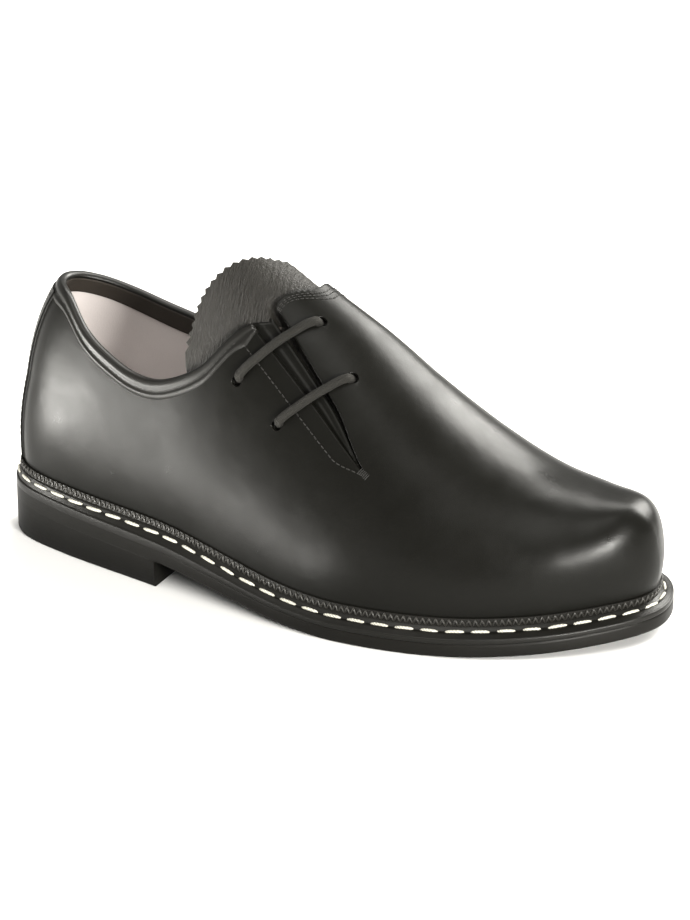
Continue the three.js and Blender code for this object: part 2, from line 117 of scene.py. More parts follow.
# Sections of the last: share along it, ridge height as a share of the instep height, sideways
# place of the ridge as a share of the ball width, and fullness of the sides, top and flanks
LAST_SECTIONS = [
    (0, 1.14, 0, 3.2, 2, 0.04),
    (0.12, 1.17, 0, 3.2, 2, 0.06),
    (0.3, 1.15, 0, 3, 2, 0.04),
    (0.42, 1.08, 0.01, 2.5, 2, 0.02),
    (0.5, 1, 0.01, 2.2, 2, 0.02),
    (0.58, 0.893, 0.02, 2.2, 2, 0.02),
    (0.66, 0.735, 0.03, 2.3, 2, 0.02),
    (0.74, 0.585, 0.05, 2.4, 2.1, 0.03),
    (0.82, 0.463, 0.07, 2.5, 2.2, 0.03),
    (0.9, 0.395, 0.09, 2.6, 2.35, 0.02),
    (0.96, 0.362, 0.095, 3.0, 2.4, 0.01),
    (1, 0.22, 0.093, 4.4, 2.2, 0),
]

# Collar line: share of the sole, lateral and medial height over the welt as shares of the quarter
COLLAR_LINE = [
    (0, 1, 1),
    (0.085, 0.99, 0.98),
    (0.11, 0.97, 0.95),
    (0.154, 0.84, 0.89),
    (0.2, 0.765, 0.84),
    (0.235, 0.729, 0.815),
    (0.263, 0.722, 0.8),
    (0.29, 0.738, 0.802),
    (0.318, 0.78, 0.81),
    (0.36, 0.88, 0.86),
    (0.416, 1.1, 0.97),
    (0.453, 1.153, 1.05),
    (0.52, 1.16, 1.14),
    (1, 1.16, 1.14),
]

# Rim of the tongue on the last: share, turn. The first seven points are the pinked edge
TONGUE_RIM = [
    (0.303, -0.58),
    (0.302, -0.49),
    (0.316, -0.39),
    (0.342, -0.29),
    (0.38, -0.165),
    (0.415, -0.055),
    (0.455, 0.03),
    (0.515, 0.04),
    (0.57, -0.12),
    (0.61, -0.36),
    (0.645, -0.52),
    (0.65, -0.6),
    (0.6, -0.64),
    (0.5, -0.65),
    (0.4, -0.66),
    (0.33, -0.65),
]
PINKED_POINTS = 7
TONGUE_MIDDLE = (0.47, -0.36)

# Lace bars: the hole behind the slit and the hole before it, each as share and turn
LACE_BARS = {
    "lace_bar_top": ((0.413, -0.563), (0.52, -0.188)),
    "lace_bar_low": ((0.487, -0.6), (0.583, -0.3)),
}


# The last, as in the frame's source
def lerp(a, b, t):
    return a + (b - a) * t


def smooth(low, high, value):
    t = np.clip((value - low) / (high - low), 0, 1)
    return t * t * (3 - 2 * t)


def bell(value, middle, width):
    """Rises from 0 to 1 at the middle and falls again."""
    return np.exp(-(((value - middle) / width) ** 2))


def unit(vectors):
    return vectors / np.maximum(np.linalg.norm(vectors, axis=-1, keepdims=True), 1e-12)


def spaced(count):
    """Shares from 0 to 1 that lie closer together towards both ends."""
    return (1 - np.cos(np.pi * np.linspace(0, 1, count))) / 2


def run_along(path):
    """Length of a path up to each of its points."""
    return np.concatenate([[0], np.cumsum(np.linalg.norm(np.diff(path, axis=0), axis=1))])


def by_angle(share):
    return np.arccos(1 - 2 * np.clip(share, 0, 1)) / np.pi


def plain(share):
    return np.asarray(share, float)


def column(table, index, spacing=by_angle):
    """Reads one column of a table as a smooth function of the share along the shoe."""
    knots = spacing(np.array([row[0] for row in table], float))
    values = np.array([row[index] for row in table], float)
    width, rise = np.diff(knots), np.diff(values)
    steep = rise / width
    inner = (steep[:-1] * width[1:] + steep[1:] * width[:-1]) / (width[:-1] + width[1:])
    slopes = np.concatenate([steep[:1], inner, steep[-1:]])

    def read(share):
        at = np.clip(spacing(share), knots[0], knots[-1])
        i = np.clip(np.searchsorted(knots, at) - 1, 0, len(width) - 1)
        t = (at - knots[i]) / width[i]
        a = slopes[i] * width[i] - rise[i]
        b = rise[i] - slopes[i + 1] * width[i]
        return values[i] + rise[i] * t + t * (1 - t) * (a * (1 - t) + b * t)

    return read


lateral_edge, medial_edge = column(SOLE_OUTLINE, 1), column(SOLE_OUTLINE, 2)
ridge_height, ridge_shift, side_full, top_full, flank_bulge = (
    column(LAST_SECTIONS, i) for i in range(1, 6)
)
collar_lateral, collar_medial = (column(COLLAR_LINE, i, plain) for i in (1, 2))

BREAST = HEEL_LENGTH / SOLE_LENGTH
BALL_BACK, BALL_FRONT, SPRING_POWER = 0.6, 0.7, 1.8
TOE_BOX_START = 0.72
TOE_TIP_START = 0.93
TOE_ROUNDING_RISE, TOE_ROUNDING_POWERS = (4.0, 26.0), (0.65, 1.5)
NOSE_PULL = BALL_WIDTH * 0.3
COLLAR_BLEND, THROAT_BLEND = 0.12, 0.2
SIDE_FADE, BACK_FADE, HEEL_FADE = 0.35, 0.5, (0.26, 0.52)
FINE_STEP = 1e-4


def sole_rise(share):
    """Underside of the outsole over the floor: heel seat, arch, flat ball and toe spring."""
    seat = HEEL_HEIGHT + HEEL_WEDGE * (1 - share / BREAST)
    t = np.clip((share - BREAST) / (BALL_BACK - BREAST), 0, 1)
    slope = (-HEEL_WEDGE / BREAST) * (BALL_BACK - BREAST)
    arch = HEEL_HEIGHT * (1 - 3 * t**2 + 2 * t**3) + slope * t * (1 - t) ** 2
    spring = TOE_SPRING * np.clip((share - BALL_FRONT) / (1 - BALL_FRONT), 0, None) ** SPRING_POWER
    return np.where(share < BREAST, seat, np.where(share < BALL_BACK, arch, spring))


def welt_top(share):
    return sole_rise(share) + OUTSOLE_THICKNESS + WELT_THICKNESS + WELT_CROWN


def upper_inset(share, grown=0.0):
    """Margin of the welt round the upper at the heel, the sides and the toe."""
    side = lerp(HEEL_MARGIN, SIDE_MARGIN, smooth(0, SIDE_FADE, share))
    return HEEL_MARGIN + grown, side + grown, TOE_MARGIN + grown


def outline(share, side, inset):
    """Point of the sole's outline pulled in by a margin, which fades out towards each end."""
    heel, flank, toe = inset
    low, high = lateral_edge(share) * BALL_WIDTH, medial_edge(share) * BALL_WIDTH
    half = (high - low) / 2 / NOSE_PULL
    pull = half / (1 + half**4) ** 0.25
    y = np.where(side < 0, low + flank * pull, high - flank * pull)
    return np.stack(np.broadcast_arrays(lerp(heel, SOLE_LENGTH - toe, share), y), -1)


def outline_normal(share, side):
    inset = upper_inset(share)
    ahead = outline(np.minimum(share + FINE_STEP, 1), side, inset)
    along = unit(ahead - outline(share - FINE_STEP, side, inset))
    normal = np.stack([-side * along[..., 1], side * along[..., 0]], -1)
    return np.where((share >= 1)[..., None], np.array([1.0, 0.0]), normal)


def lean_at(height):
    share = height / QUARTER_HEIGHT
    bulge = BACK_BULGE * np.sin(np.pi * np.clip(share * 2, 0, 1))
    return BACK_LEAN * share**2 + BACK_TUCK * np.minimum(share, 1) ** 6 - bulge


def last_point(share, turn):
    """Surface of the last: turn runs from -1 at the lateral feather over 0 to 1 at the medial."""
    share, turn = np.broadcast_arrays(np.asarray(share, float), np.asarray(turn, float))
    side = np.where(turn < 0, -1.0, 1.0)
    feather = outline(share, side, upper_inset(share))
    arc = (1 - np.abs(turn)) * np.pi / 2
    up = np.sin(arc) ** (2 / top_full(share))
    swell = 1 + flank_bulge(share) * 6.75 * up * (1 - up) ** 2
    out = np.maximum(np.cos(arc), 0) ** (2 / side_full(share)) * swell
    height = ridge_height(share) * INSTEP_HEIGHT * up
    back = (1 - smooth(0, BACK_FADE, share)) * lean_at(height)
    puff = TOE_BULGE * smooth(TOE_BOX_START, 0.97, share)
    facing = outline_normal(share, side) * (share > TOE_BOX_START)[..., None]
    other = outline_normal(share, -side)[..., 0] * (share > TOE_BOX_START)
    ahead = lerp((facing[..., 0] + other) / 2, facing[..., 0], smooth(0, 0.6, np.abs(turn)))
    to_tip = np.clip((1 - share) / (1 - TOE_TIP_START), 0, 1) ** TOE_ROUNDING_POWERS[0]
    rounding = smooth(*TOE_ROUNDING_RISE, height) * (1 - to_tip) ** TOE_ROUNDING_POWERS[1]
    x = feather[..., 0] + back + ahead * puff * np.sin(np.pi / 2 * up)
    y = lerp(ridge_shift(share) * BALL_WIDTH, feather[..., 1], out)
    y = y + facing[..., 1] * puff * np.sin(np.pi * up)
    x = x - TOE_ROUNDING * rounding
    return np.stack([x, y, welt_top(feather[..., 0] / SOLE_LENGTH) + height], -1)


def last_normal(share, turn):
    """Outward direction of the last, kept level along the feather line."""
    share, turn = np.broadcast_arrays(np.asarray(share, float), np.asarray(turn, float))
    s0, s1 = np.maximum(share - FINE_STEP, 0), np.minimum(share + FINE_STEP, 1)

    def facing(at):
        t0, t1 = np.maximum(at - FINE_STEP, -1), np.minimum(at + FINE_STEP, 1)
        along = last_point(s1, at) - last_point(s0, at)
        over = last_point((s0 + s1) / 2, t1) - last_point((s0 + s1) / 2, t0)
        return unit(np.cross(along, over))

    normal = facing(turn)
    ends = (share <= 0) | (share >= 1)
    normal[ends] = (normal + facing(-turn))[ends] * (1, 0, 1)
    normal[np.abs(turn) >= 1] *= (1, 1, 0)
    return unit(normal)


def on_last(share, turn, offset):
    offset = np.asarray(offset, float)
    return last_point(share, turn) + last_normal(share, turn) * offset[..., None]


def wall_point(share, side, height, offset):
    """Point beside the last at a height over the welt, moved straight out by an offset."""
    up = height / (ridge_height(share) * INSTEP_HEIGHT)
    turn = side * (1 - 2 * np.arcsin(up ** (top_full(share) / 2)) / np.pi)
    out = unit(last_normal(share, turn) * (1, 1, 0))
    return last_point(share, turn) + out * offset


def collar_height(x, y):
    share = x / SOLE_LENGTH
    medial = smooth(-COLLAR_BLEND, COLLAR_BLEND, y / BALL_WIDTH)
    height = lerp(collar_lateral(share), collar_medial(share), medial)
    return welt_top(np.maximum(share, 0)) + height * QUARTER_HEIGHT


def throat_at(y):
    return THROAT_PLACE - THROAT_SLANT * smooth(0, THROAT_BLEND, -y / BALL_WIDTH)


def halved(low, high, test):
    """Closes in on the place between low and high where the test turns from true to false."""
    for _ in range(26):
        middle = (low + high) / 2
        kept = test(middle)
        low, high = np.where(kept, middle, low), np.where(kept, high, middle)
    return (low + high) / 2


def side_place(x, z, side=-1):
    """Share and turn of the last's point that the side view shows at x and z."""
    x, z = np.broadcast_arrays(np.asarray(x, float), np.asarray(z, float))
    share = x / SOLE_LENGTH
    for _ in range(8):
        turn = side * halved(0 * x, 0 * x + 1, lambda t: last_point(share, side * t)[..., 2] > z)
        share = share + (x - last_point(share, turn)[..., 0]) / SOLE_LENGTH
    return share, turn


# The slit in the side view: its end, and where its two facings reach their full height
slit_foot = np.array([SLIT_END_PLACE, welt_top(SLIT_END_PLACE / SOLE_LENGTH) + SLIT_END_HEIGHT])
slit_top = welt_top(SLIT_PLACE / SOLE_LENGTH) + SLIT_TOP_HEIGHT
slit_back = np.array([SLIT_PLACE, slit_top])
slit_front = np.array([SLIT_PLACE + SLIT_WIDTH, slit_top])
slit_front_foot = slit_foot + (SLIT_END_WIDTH, 0)


def beside_line(points, start, end):
    """Signed distance of points from a line in the side view, positive on its right."""
    along = unit(end - start)
    return (points[..., 0] - start[0]) * along[1] - (points[..., 2] - start[1]) * along[0]


REAR_BOW, FRONT_BOW, BOW_RISE = 0.8, 3.4, 20.0


def facings(points):
    """How far points lie behind the rear facing and before the front one, both bowed forward."""
    bow = smooth(0, BOW_RISE, points[..., 2] - slit_foot[1])
    behind = beside_line(points, slit_back, slit_foot) + REAR_BOW * bow
    before = beside_line(points, slit_front_foot, slit_front) - FRONT_BOW * bow
    return behind, before


def outside_slit(points):
    behind, before = facings(points)
    below = slit_foot[1] - points[..., 2]
    return np.maximum.reduce([behind, before, below, points[..., 1] + SLIT_WIDTH / 2])


def below_collar(points):
    return collar_height(points[..., 0], points[..., 1]) - points[..., 2]


def before_throat(points):
    return throat_at(points[..., 1]) - points[..., 0]


def under_collar(points, drop=0.0):
    return np.maximum(below_collar(points) - drop, -before_throat(points))


def everywhere(points):
    return points[..., 0] * 0 + 1


# Mesh code that all pieces share
def cut_grid(share, turn, keep):
    """Faces of a grid on the last where keep is positive, cut along the line where it is zero."""
    columns, rows = share.shape
    flat = np.stack([share.ravel(), turn.ravel()], 1)
    inside = keep(last_point(*flat.T)) > 0
    corner = np.arange(columns * rows).reshape(columns, rows)
    around = corner[:-1, :-1], corner[1:, :-1], corner[1:, 1:], corner[:-1, 1:]
    cells = np.stack(around, -1).reshape(-1, 4)
    count = inside[cells].sum(1)
    faces = cells[count == 4].tolist()
    crossings = {}
    for cell in cells[(count > 0) & (count < 4)].tolist():
        polygon = []
        for here, ahead in zip(cell, cell[1:] + cell[:1]):
            if inside[here]:
                polygon.append(here)
            if inside[here] != inside[ahead]:
                edge = (here, ahead) if inside[here] else (ahead, here)
                polygon.append(crossings.setdefault(edge, len(flat) + len(crossings)))
        faces.append(polygon)
    if crossings:
        kept, lost = (flat[list(ids)] for ids in zip(*crossings))
        share_of = lambda t: lerp(kept, lost, t[:, None])
        start = np.zeros(len(kept))
        place = halved(start, start + 1, lambda t: keep(last_point(*share_of(t).T)) > 0)
        flat = np.concatenate([flat, share_of(place)])
    return flat, faces


def weld(points, faces, gap=0.02):
    """Joins points that lie together and drops what that leaves flat or unused."""
    used = np.unique(np.concatenate([np.asarray(face) for face in faces]))
    _, first, same = np.unique(
        np.round(points[used] / gap).astype(int), axis=0, return_index=True, return_inverse=True
    )
    number = np.zeros(len(points), int)
    number[used] = same.ravel()
    joined = []
    for face in faces:
        ids = number[face].tolist()
        ids = [a for a, b in zip(ids, ids[1:] + ids[:1]) if a != b]
        if len(ids) > 2:
            joined.append(ids)
    return used[first], joined


def border(faces):
    """Edges that only one face uses, each in the direction in which that face runs."""
    edges = {(a, b) for face in faces for a, b in zip(face, face[1:] + face[:1])}
    return [(a, b) for a, b in edges if (b, a) not in edges]


EDGE_STEPS = 3


def sheet(share, turn, keep, outer, inner, bulge=0.5):
    """A piece of leather on the last, between two offsets from it, with a rounded cut edge."""
    flat, faces = cut_grid(share, turn, keep)
    chosen, faces = weld(last_point(*flat.T), faces)
    flat = flat[chosen]
    points, normals = last_point(*flat.T), last_normal(*flat.T)
    outer, inner = (
        np.broadcast_to(offset(*flat.T) if callable(offset) else offset, len(flat))[:, None]
        for offset in (outer, inner)
    )
    rims = border(faces)
    away = np.zeros_like(points)
    for a, b in rims:
        push = np.cross(points[b] - points[a], normals[a] + normals[b])
        away[a] += push
        away[b] += push
    edge = np.array(sorted({a for rim in rims for a in rim}))
    place = {vertex: i for i, vertex in enumerate(edge.tolist())}
    away = unit(away[edge])
    middle, half = ((outer + inner) / 2)[edge], ((outer - inner) / 2)[edge]
    layers = [points + normals * outer, points + normals * inner]
    for angle in np.linspace(np.pi / 2, -np.pi / 2, EDGE_STEPS + 2)[1:-1]:
        lift = middle + half * math.sin(angle)
        layers.append(points[edge] + normals[edge] * lift + away * half * bulge * math.cos(angle))
    count = len(points)
    made = faces + [[count + a for a in reversed(face)] for face in faces]
    for a, b in rims:
        starts = [2 * count + step * len(edge) for step in range(EDGE_STEPS)]
        down_a = [a] + [start + place[a] for start in starts] + [count + a]
        down_b = [b] + [start + place[b] for start in starts] + [count + b]
        for i in range(EDGE_STEPS + 1):
            made.append([down_b[i], down_a[i], down_a[i + 1], down_b[i + 1]])
    flats = np.concatenate([flat, flat] + [flat[edge]] * EDGE_STEPS)
    return np.concatenate(layers), made, flats * (SOLE_LENGTH, INSTEP_HEIGHT)


def ring(point, shares):
    """One ring: heel to toe along the lateral side and back along the medial side."""
    back = shares[::-1]
    return np.concatenate([point(shares, 0 * shares - 1), point(back, 0 * back + 1)])


def level_ring(inset, lift, shares, raised=0.0):
    """A ring of the sole at an inset, lifted over the outsole's underside, more so at the heel."""

    def point(share, side):
        flat = outline(share, side, inset(share) if callable(inset) else (inset,) * 3)
        rise = sole_rise(flat[..., 0] / SOLE_LENGTH) + lift + raised * at_heel(share)
        return np.concatenate([flat, rise[..., None]], -1)

    return ring(point, shares)


def at_heel(share):
    return 1 - smooth(*HEEL_FADE, share)


def from_feather(grown):
    return lambda share: upper_inset(share, grown)


def wall_ring(height, offset, shares):
    return ring(lambda share, side: wall_point(share, side, height, offset), shares)


def between(count, around, closed=False):
    """Faces between rings of points, from each ring to the next, or round to the first again."""
    faces = []
    for r in range(count if closed else count - 1):
        low, high = r * around, (r + 1) % count * around
        for i in range(around):
            j = (i + 1) % around
            faces.append([low + i, low + j, high + j, high + i])
    return faces


def capped(count, around):
    """Faces of a bar of rings with a cap on each end."""
    last = (count - 1) * around
    caps = [list(range(around))[::-1], [last + i for i in range(around)]]
    return between(count, around) + caps


def skin(rings, closed):
    """Skins rings into a solid: a loop back to the first ring, or a stack with two caps."""
    around, count = len(rings[0]), len(rings)
    faces = between(count, around, closed)
    if not closed:
        top = (count - 1) * around
        for i in range(around // 2 - 1):
            l0, l1, m0, m1 = i, i + 1, around - 1 - i, around - 2 - i
            faces.append([l0, m0, m1, l1])
            faces.append([top + l0, top + l1, top + m1, top + m0])
    points = np.concatenate(rings)
    chosen, faces = weld(points, faces, 0.002)
    return points[chosen], faces


def tube(path, radius, sides=14):
    """A cord along a path with its ends closed, and its length and girth as flat places."""
    path = np.asarray(path, float)
    along = unit(np.gradient(path, axis=0))
    across = unit(np.cross(along[0], (0.3, 0.2, 1.0)))
    rings, flats = [], []
    angles = 2 * np.pi * np.arange(sides) / sides
    for point, ahead, far in zip(path, along, run_along(path)):
        across = unit(across - ahead * np.dot(across, ahead))
        up = np.cross(ahead, across)
        round_it = np.outer(np.cos(angles), across) + np.outer(np.sin(angles), up)
        rings.append(point + radius * round_it)
        flats.append(np.stack([0 * angles + far, angles * radius], 1))
    return np.concatenate(rings), capped(len(rings), sides), np.concatenate(flats)


# The sole starts at the back of the heel, so its box gives the last's place in the frame
edge_shares = np.linspace(0, 1, 401)
sole_low, sole_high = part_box("outsole")
edge_middle = (lateral_edge(edge_shares).min() + medial_edge(edge_shares).max()) / 2 * BALL_WIDTH
last_place = np.array([sole_low.x, (sole_low.y + sole_high.y) / 2 - edge_middle * MM, 0])


def in_frame(points):
    return np.asarray(points) * MM + last_place


def new_object(name, data):
    made = bpy.data.objects.new(name, data)
    bpy.context.scene.collection.objects.link(made)
    return made


def dress(piece, slot, *nodes):
    """Lets a finished piece ride on the shoe in place of the frame's solids, which it hides."""
    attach(piece, "root")
    if nodes:
        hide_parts(*nodes)


def make_piece(name, made, finish, slot, *nodes, sharp=40):
    """Makes and dresses a piece of points in millimetres, faces and, where given, flat places."""
    points, faces, *flats = made
    mesh = bpy.data.meshes.new(name)
    mesh.from_pydata(in_frame(points).tolist(), [], faces)
    mesh.shade_smooth()
    mesh.set_sharp_from_angle(angle=math.radians(sharp))
    if flats:
        corners = np.empty(len(mesh.loops), int)
        mesh.loops.foreach_get("vertex_index", corners)
        layer = mesh.uv_layers.new(name="flat")
        layer.data.foreach_set("uv", (flats[0][corners] * MM).astype(np.float32).ravel())
    mesh.materials.append(finish)
    dress(new_object(name, mesh), slot, *nodes)


# Camera at the photograph's angle, fitted to the sole's outline and the silhouette
CAMERA_AZIMUTH, CAMERA_ELEVATION, CAMERA_ROLL = (
    math.radians(angle) for angle in (26.4552, 23.9345, -0.5348)
)
CAMERA_DISTANCE = 1.57584
CAMERA_TARGET = (117.096, 13.163, 37.479)
CAMERA_LENS = 184.81


def make_camera():
    a, e, r = CAMERA_AZIMUTH, CAMERA_ELEVATION, CAMERA_ROLL
    back = Vector((math.sin(a) * math.cos(e), -math.cos(a) * math.cos(e), math.sin(e)))
    level = Vector((math.cos(a), math.sin(a), 0))
    upright = back.cross(level)
    right = level * math.cos(r) + upright * math.sin(r)
    up = upright * math.cos(r) - level * math.sin(r)
    data = bpy.data.cameras.new("camera")
    data.lens = CAMERA_LENS
    data.clip_start, data.clip_end = 0.05, 50
    camera = new_object("camera", data)
    turned = Matrix((right, up, back)).transposed().to_4x4()
    place = Vector(in_frame(CAMERA_TARGET)) + back * CAMERA_DISTANCE
    camera.matrix_world = Matrix.Translation(place) @ turned
    bpy.context.scene.camera = camera


make_camera()


# Shader maths and materials
class Value:
    """A shader socket that takes part in arithmetic."""

    def __init__(self, finish, socket):
        self.finish, self.socket = finish, socket

    def maths(self, operation, *values):
        sockets = dict(enumerate(values))
        return self.finish.node("Math", {"operation": operation}, sockets)

    def __add__(self, other):
        return self.maths("ADD", self, other)

    __radd__ = __add__

    def __sub__(self, other):
        return self.maths("SUBTRACT", self, other)

    def __rsub__(self, other):
        return self.maths("SUBTRACT", other, self)

    def __mul__(self, other):
        return self.maths("MULTIPLY", self, other)

    __rmul__ = __mul__

    def sine(self):
        return self.maths("SINE", self)

    def size(self):
        return self.maths("ABSOLUTE", self)


class Finish:
    """One node-based material: each call adds a node and gives back what it puts out."""

    def __init__(self, name):
        self.material = bpy.data.materials.new(name)
        self.material.use_nodes = True
        self.tree = self.material.node_tree
        self.tree.nodes.clear()

    def node(self, kind, settings=None, sockets=None, out=0):
        made = self.tree.nodes.new("ShaderNode" + kind)
        for key, value in (settings or {}).items():
            if key == "stops":
                self.fill(made.color_ramp, value)
            else:
                setattr(made, key, value)
        for key, value in (sockets or {}).items():
            if isinstance(value, Value):
                self.tree.links.new(value.socket, made.inputs[key])
            else:
                made.inputs[key].default_value = value
        return None if out is None else Value(self, made.outputs[out])

    def fill(self, ramp, stops):
        while len(ramp.elements) < len(stops):
            ramp.elements.new(1)
        for element, (place, level) in zip(ramp.elements, stops):
            element.position = place
            element.color = (level, level, level, 1)

    def object_place(self):
        return self.node("TexCoord", out="Object")

    def flat_place(self):
        return self.node("UVMap", {"uv_map": "flat"})

    def axis(self, place, number):
        return self.node("SeparateXYZ", None, {"Vector": place}, out=number)

    def stretched(self, place, scale):
        return self.node("Mapping", None, {"Vector": place, "Scale": scale})

    def noise(self, place, scale, detail=2.0, roughness=0.5):
        sockets = {"Vector": place, "Scale": scale, "Detail": detail, "Roughness": roughness}
        return self.node("TexNoise", None, sockets)

    def cracks(self, place, scale):
        sockets = {"Vector": place, "Scale": scale}
        return self.node("TexVoronoi", {"feature": "DISTANCE_TO_EDGE"}, sockets)

    def ramp(self, value, *stops):
        return self.node("ValToRGB", {"stops": stops}, {"Fac": value})

    def blend(self, share, first, second):
        sockets = {0: share, 6: (*first, 1), 7: (*second, 1)}
        return self.node("Mix", {"data_type": "RGBA"}, sockets, out=2)

    def bump(self, height, depth, **sockets):
        """Relief of a height from 0 to 1, depth millimetres deep."""
        return self.node("Bump", None, {"Height": height, "Distance": depth * MM, **sockets})

    def surface(self, **sockets):
        named = {key.replace("_", " "): value for key, value in sockets.items()}
        shader = self.node("BsdfPrincipled", None, named)
        self.node("OutputMaterial", None, {"Surface": shader}, out=None)
        return self.material


# Finishes. Noise scales are per metre, depths in millimetres
TONE_SCALE, WAX_SCALE, WAVE_SCALE, WAVE_DEPTH = 28, 95, 105, 0.13


def leather(name, dark, light, gloss, grain, depth, shine):
    """Smooth waxed leather: fine cracks and pores over a slow change of tone and of the surface."""
    finish = Finish(name)
    spot = finish.object_place()
    slow = finish.noise(spot, TONE_SCALE, 3)
    cloud = finish.noise(spot, WAX_SCALE, 3)
    cells = finish.cracks(spot, 1 / (grain * MM))
    pores = finish.noise(spot, 2.4 / (grain * MM), 3)
    fine = finish.bump(cells * 0.8 + pores * 0.5, depth)
    return finish.surface(
        Base_Color=finish.blend(slow * 0.5 + pores * 0.5, dark, light),
        Roughness=gloss + slow * 0.1 + cloud * 0.2 + pores * 0.08 - 0.19,
        Normal=finish.bump(finish.noise(spot, WAVE_SCALE, 2), WAVE_DEPTH, Normal=fine),
        Specular_IOR_Level=shine,
    )


def crinkled_leather(name, dark, light, gloss):
    """Soft leather whose grain runs in long crinkles up the piece."""
    finish = Finish(name)
    flat = finish.flat_place()
    crinkle = finish.noise(finish.stretched(flat, (1300, 170, 1)), 1.0, 4, 0.6)
    cells = finish.cracks(finish.stretched(flat, (1000, 420, 1)), 1.0)
    sheen = finish.noise(finish.stretched(flat, (220, 60, 1)), 1.0, 2)
    return finish.surface(
        Base_Color=finish.blend(crinkle * 0.7 + sheen * 0.3, dark, light),
        Roughness=gloss + sheen * 0.16 - 0.08,
        Specular_IOR_Level=0.3,
        Normal=finish.bump(crinkle + cells * 0.35, 0.75),
    )


def cloth_lining(name, dark, light):
    """Soft pale lining leather with a suede nap."""
    finish = Finish(name)
    spot = finish.object_place()
    nap = finish.noise(spot, 2200, 3)
    slow = finish.noise(spot, 60, 3)
    return finish.surface(
        Base_Color=finish.blend(slow * 0.7 + nap * 0.3, dark, light),
        Roughness=0.82 + nap * 0.1,
        Normal=finish.bump(nap, 0.08),
    )


def rubber(name, dark, light, gloss):
    """Trimmed and polished sole edge: fine strokes along it over a slow change of tone."""
    finish = Finish(name)
    spot = finish.object_place()
    strokes = finish.noise(finish.stretched(spot, (90, 90, 2600)), 1.0, 2)
    slow = finish.noise(spot, 40, 3)
    scuff = finish.ramp(finish.noise(spot, 230, 4, 0.7), (0.62, 0.0), (0.8, 1.0))
    return finish.surface(
        Base_Color=finish.blend(slow * 0.6 + strokes * 0.4, dark, light),
        Roughness=gloss + slow * 0.12 + scuff * 0.12,
        Specular_IOR_Level=0.18,
        Normal=finish.bump(strokes, 0.05),
    )


def thread(name, dark, light, pitch):
    """Twisted thread, its plies slanting along each stitch."""
    finish = Finish(name)
    spot = finish.object_place()
    slant = finish.axis(spot, 0) + finish.axis(spot, 2) * 1.4
    plies = (slant * (2 * math.pi / (pitch * MM))).sine() * 0.5 + 0.5
    fuzz = finish.noise(spot, 1800, 2)
    return finish.surface(
        Base_Color=finish.blend(plies * 0.6 + fuzz * 0.4, dark, light),
        Roughness=0.62 + fuzz * 0.2,
        Normal=finish.bump(plies, 0.12),
    )


def braid(name, dark, light, pitch):
    """Round waxed cord with two sets of plies that cross each other."""
    finish = Finish(name)
    flat = finish.flat_place()
    along, round_it = finish.axis(flat, 0), finish.axis(flat, 1)
    turn = 2 * math.pi / (pitch * MM)
    first = ((along + round_it * 1.1) * turn).sine()
    second = ((along - round_it * 1.1) * turn).sine()
    plies = (first * second).size()
    fuzz = finish.noise(finish.object_place(), 1500, 2)
    return finish.surface(
        Base_Color=finish.blend(plies * 0.6 + fuzz * 0.4, dark, light),
        Roughness=0.55 + fuzz * 0.2,
        Specular_IOR_Level=0.15,
        Normal=finish.bump(plies, 0.25),
    )


upper_finish = leather(
    "upper_leather", (0.0032, 0.0031, 0.0025), (0.0066, 0.0064, 0.005), 0.33, 0.55, 0.03, 0.16
)
binding_finish = leather(
    "binding_leather", (0.005, 0.0048, 0.004), (0.011, 0.0103, 0.0088), 0.36, 0.5, 0.05, 0.3
)
facing_finish = leather(
    "facing_leather", (0.022, 0.018, 0.014), (0.038, 0.032, 0.027), 0.58, 0.6, 0.05, 0.25
)
welt_finish = leather(
    "welt_leather", (0.004, 0.0038, 0.003), (0.009, 0.0084, 0.0066), 0.36, 0.4, 0.05, 0.28
)
# The ribs are the welt's leather made several times lighter: a painted highlight for the light that
# catches the tops of the ribs
rib_finish_painted_highlight = leather(
    "rib_leather_painted_highlight", (0.014, 0.0132, 0.0115), (0.032, 0.030, 0.026), 0.38, 0.4, 0.04, 0.5
)
tongue_finish = crinkled_leather(
    "tongue_leather", (0.006, 0.0054, 0.0045), (0.024, 0.022, 0.0185), 0.5
)
lining_finish = cloth_lining("lining_leather", (0.43, 0.40, 0.39), (0.56, 0.525, 0.515))
insole_finish = cloth_lining("insole_leather", (0.5, 0.455, 0.45), (0.62, 0.57, 0.565))
outsole_finish = rubber("outsole_rubber", (0.004, 0.0038, 0.003), (0.010, 0.0092, 0.0075), 0.4)
heel_finish = rubber("heel_rubber", (0.004, 0.0038, 0.003), (0.009, 0.0084, 0.0068), 0.44)
welt_thread = thread("welt_thread", (0.30, 0.29, 0.25), (0.54, 0.53, 0.475), 1.1)
dark_thread = thread("dark_thread", (0.006, 0.0055, 0.0048), (0.016, 0.015, 0.0125), 0.6)
lace_finish = braid("lace_cord", (0.014, 0.0136, 0.0122), (0.045, 0.043, 0.0385), 1.3)


# Rows of stitches and ribs
def rounded_bar(name, stations=7, sides=8, dip=0.25):
    """A bar one unit long, wide and high, its round ends dipping down: one stitch or rib."""
    rings = []
    for x in 0.5 * np.sin(np.pi / 2 * np.linspace(-1, 1, stations)):
        radius = 0.5 * (1 - abs(2 * x * 0.98) ** 5) ** 0.5
        angles = 2 * np.pi * np.arange(sides) / sides
        z = radius * np.sin(angles) - dip * abs(2 * x) ** 3
        rings.append(np.stack([0 * angles + x, radius * np.cos(angles), z], 1))
    mesh = bpy.data.meshes.new(name)
    outward = [face[::-1] for face in capped(stations, sides)]
    mesh.from_pydata(np.concatenate(rings).tolist(), [], outward)
    mesh.shade_smooth()
    return new_object(name, mesh)


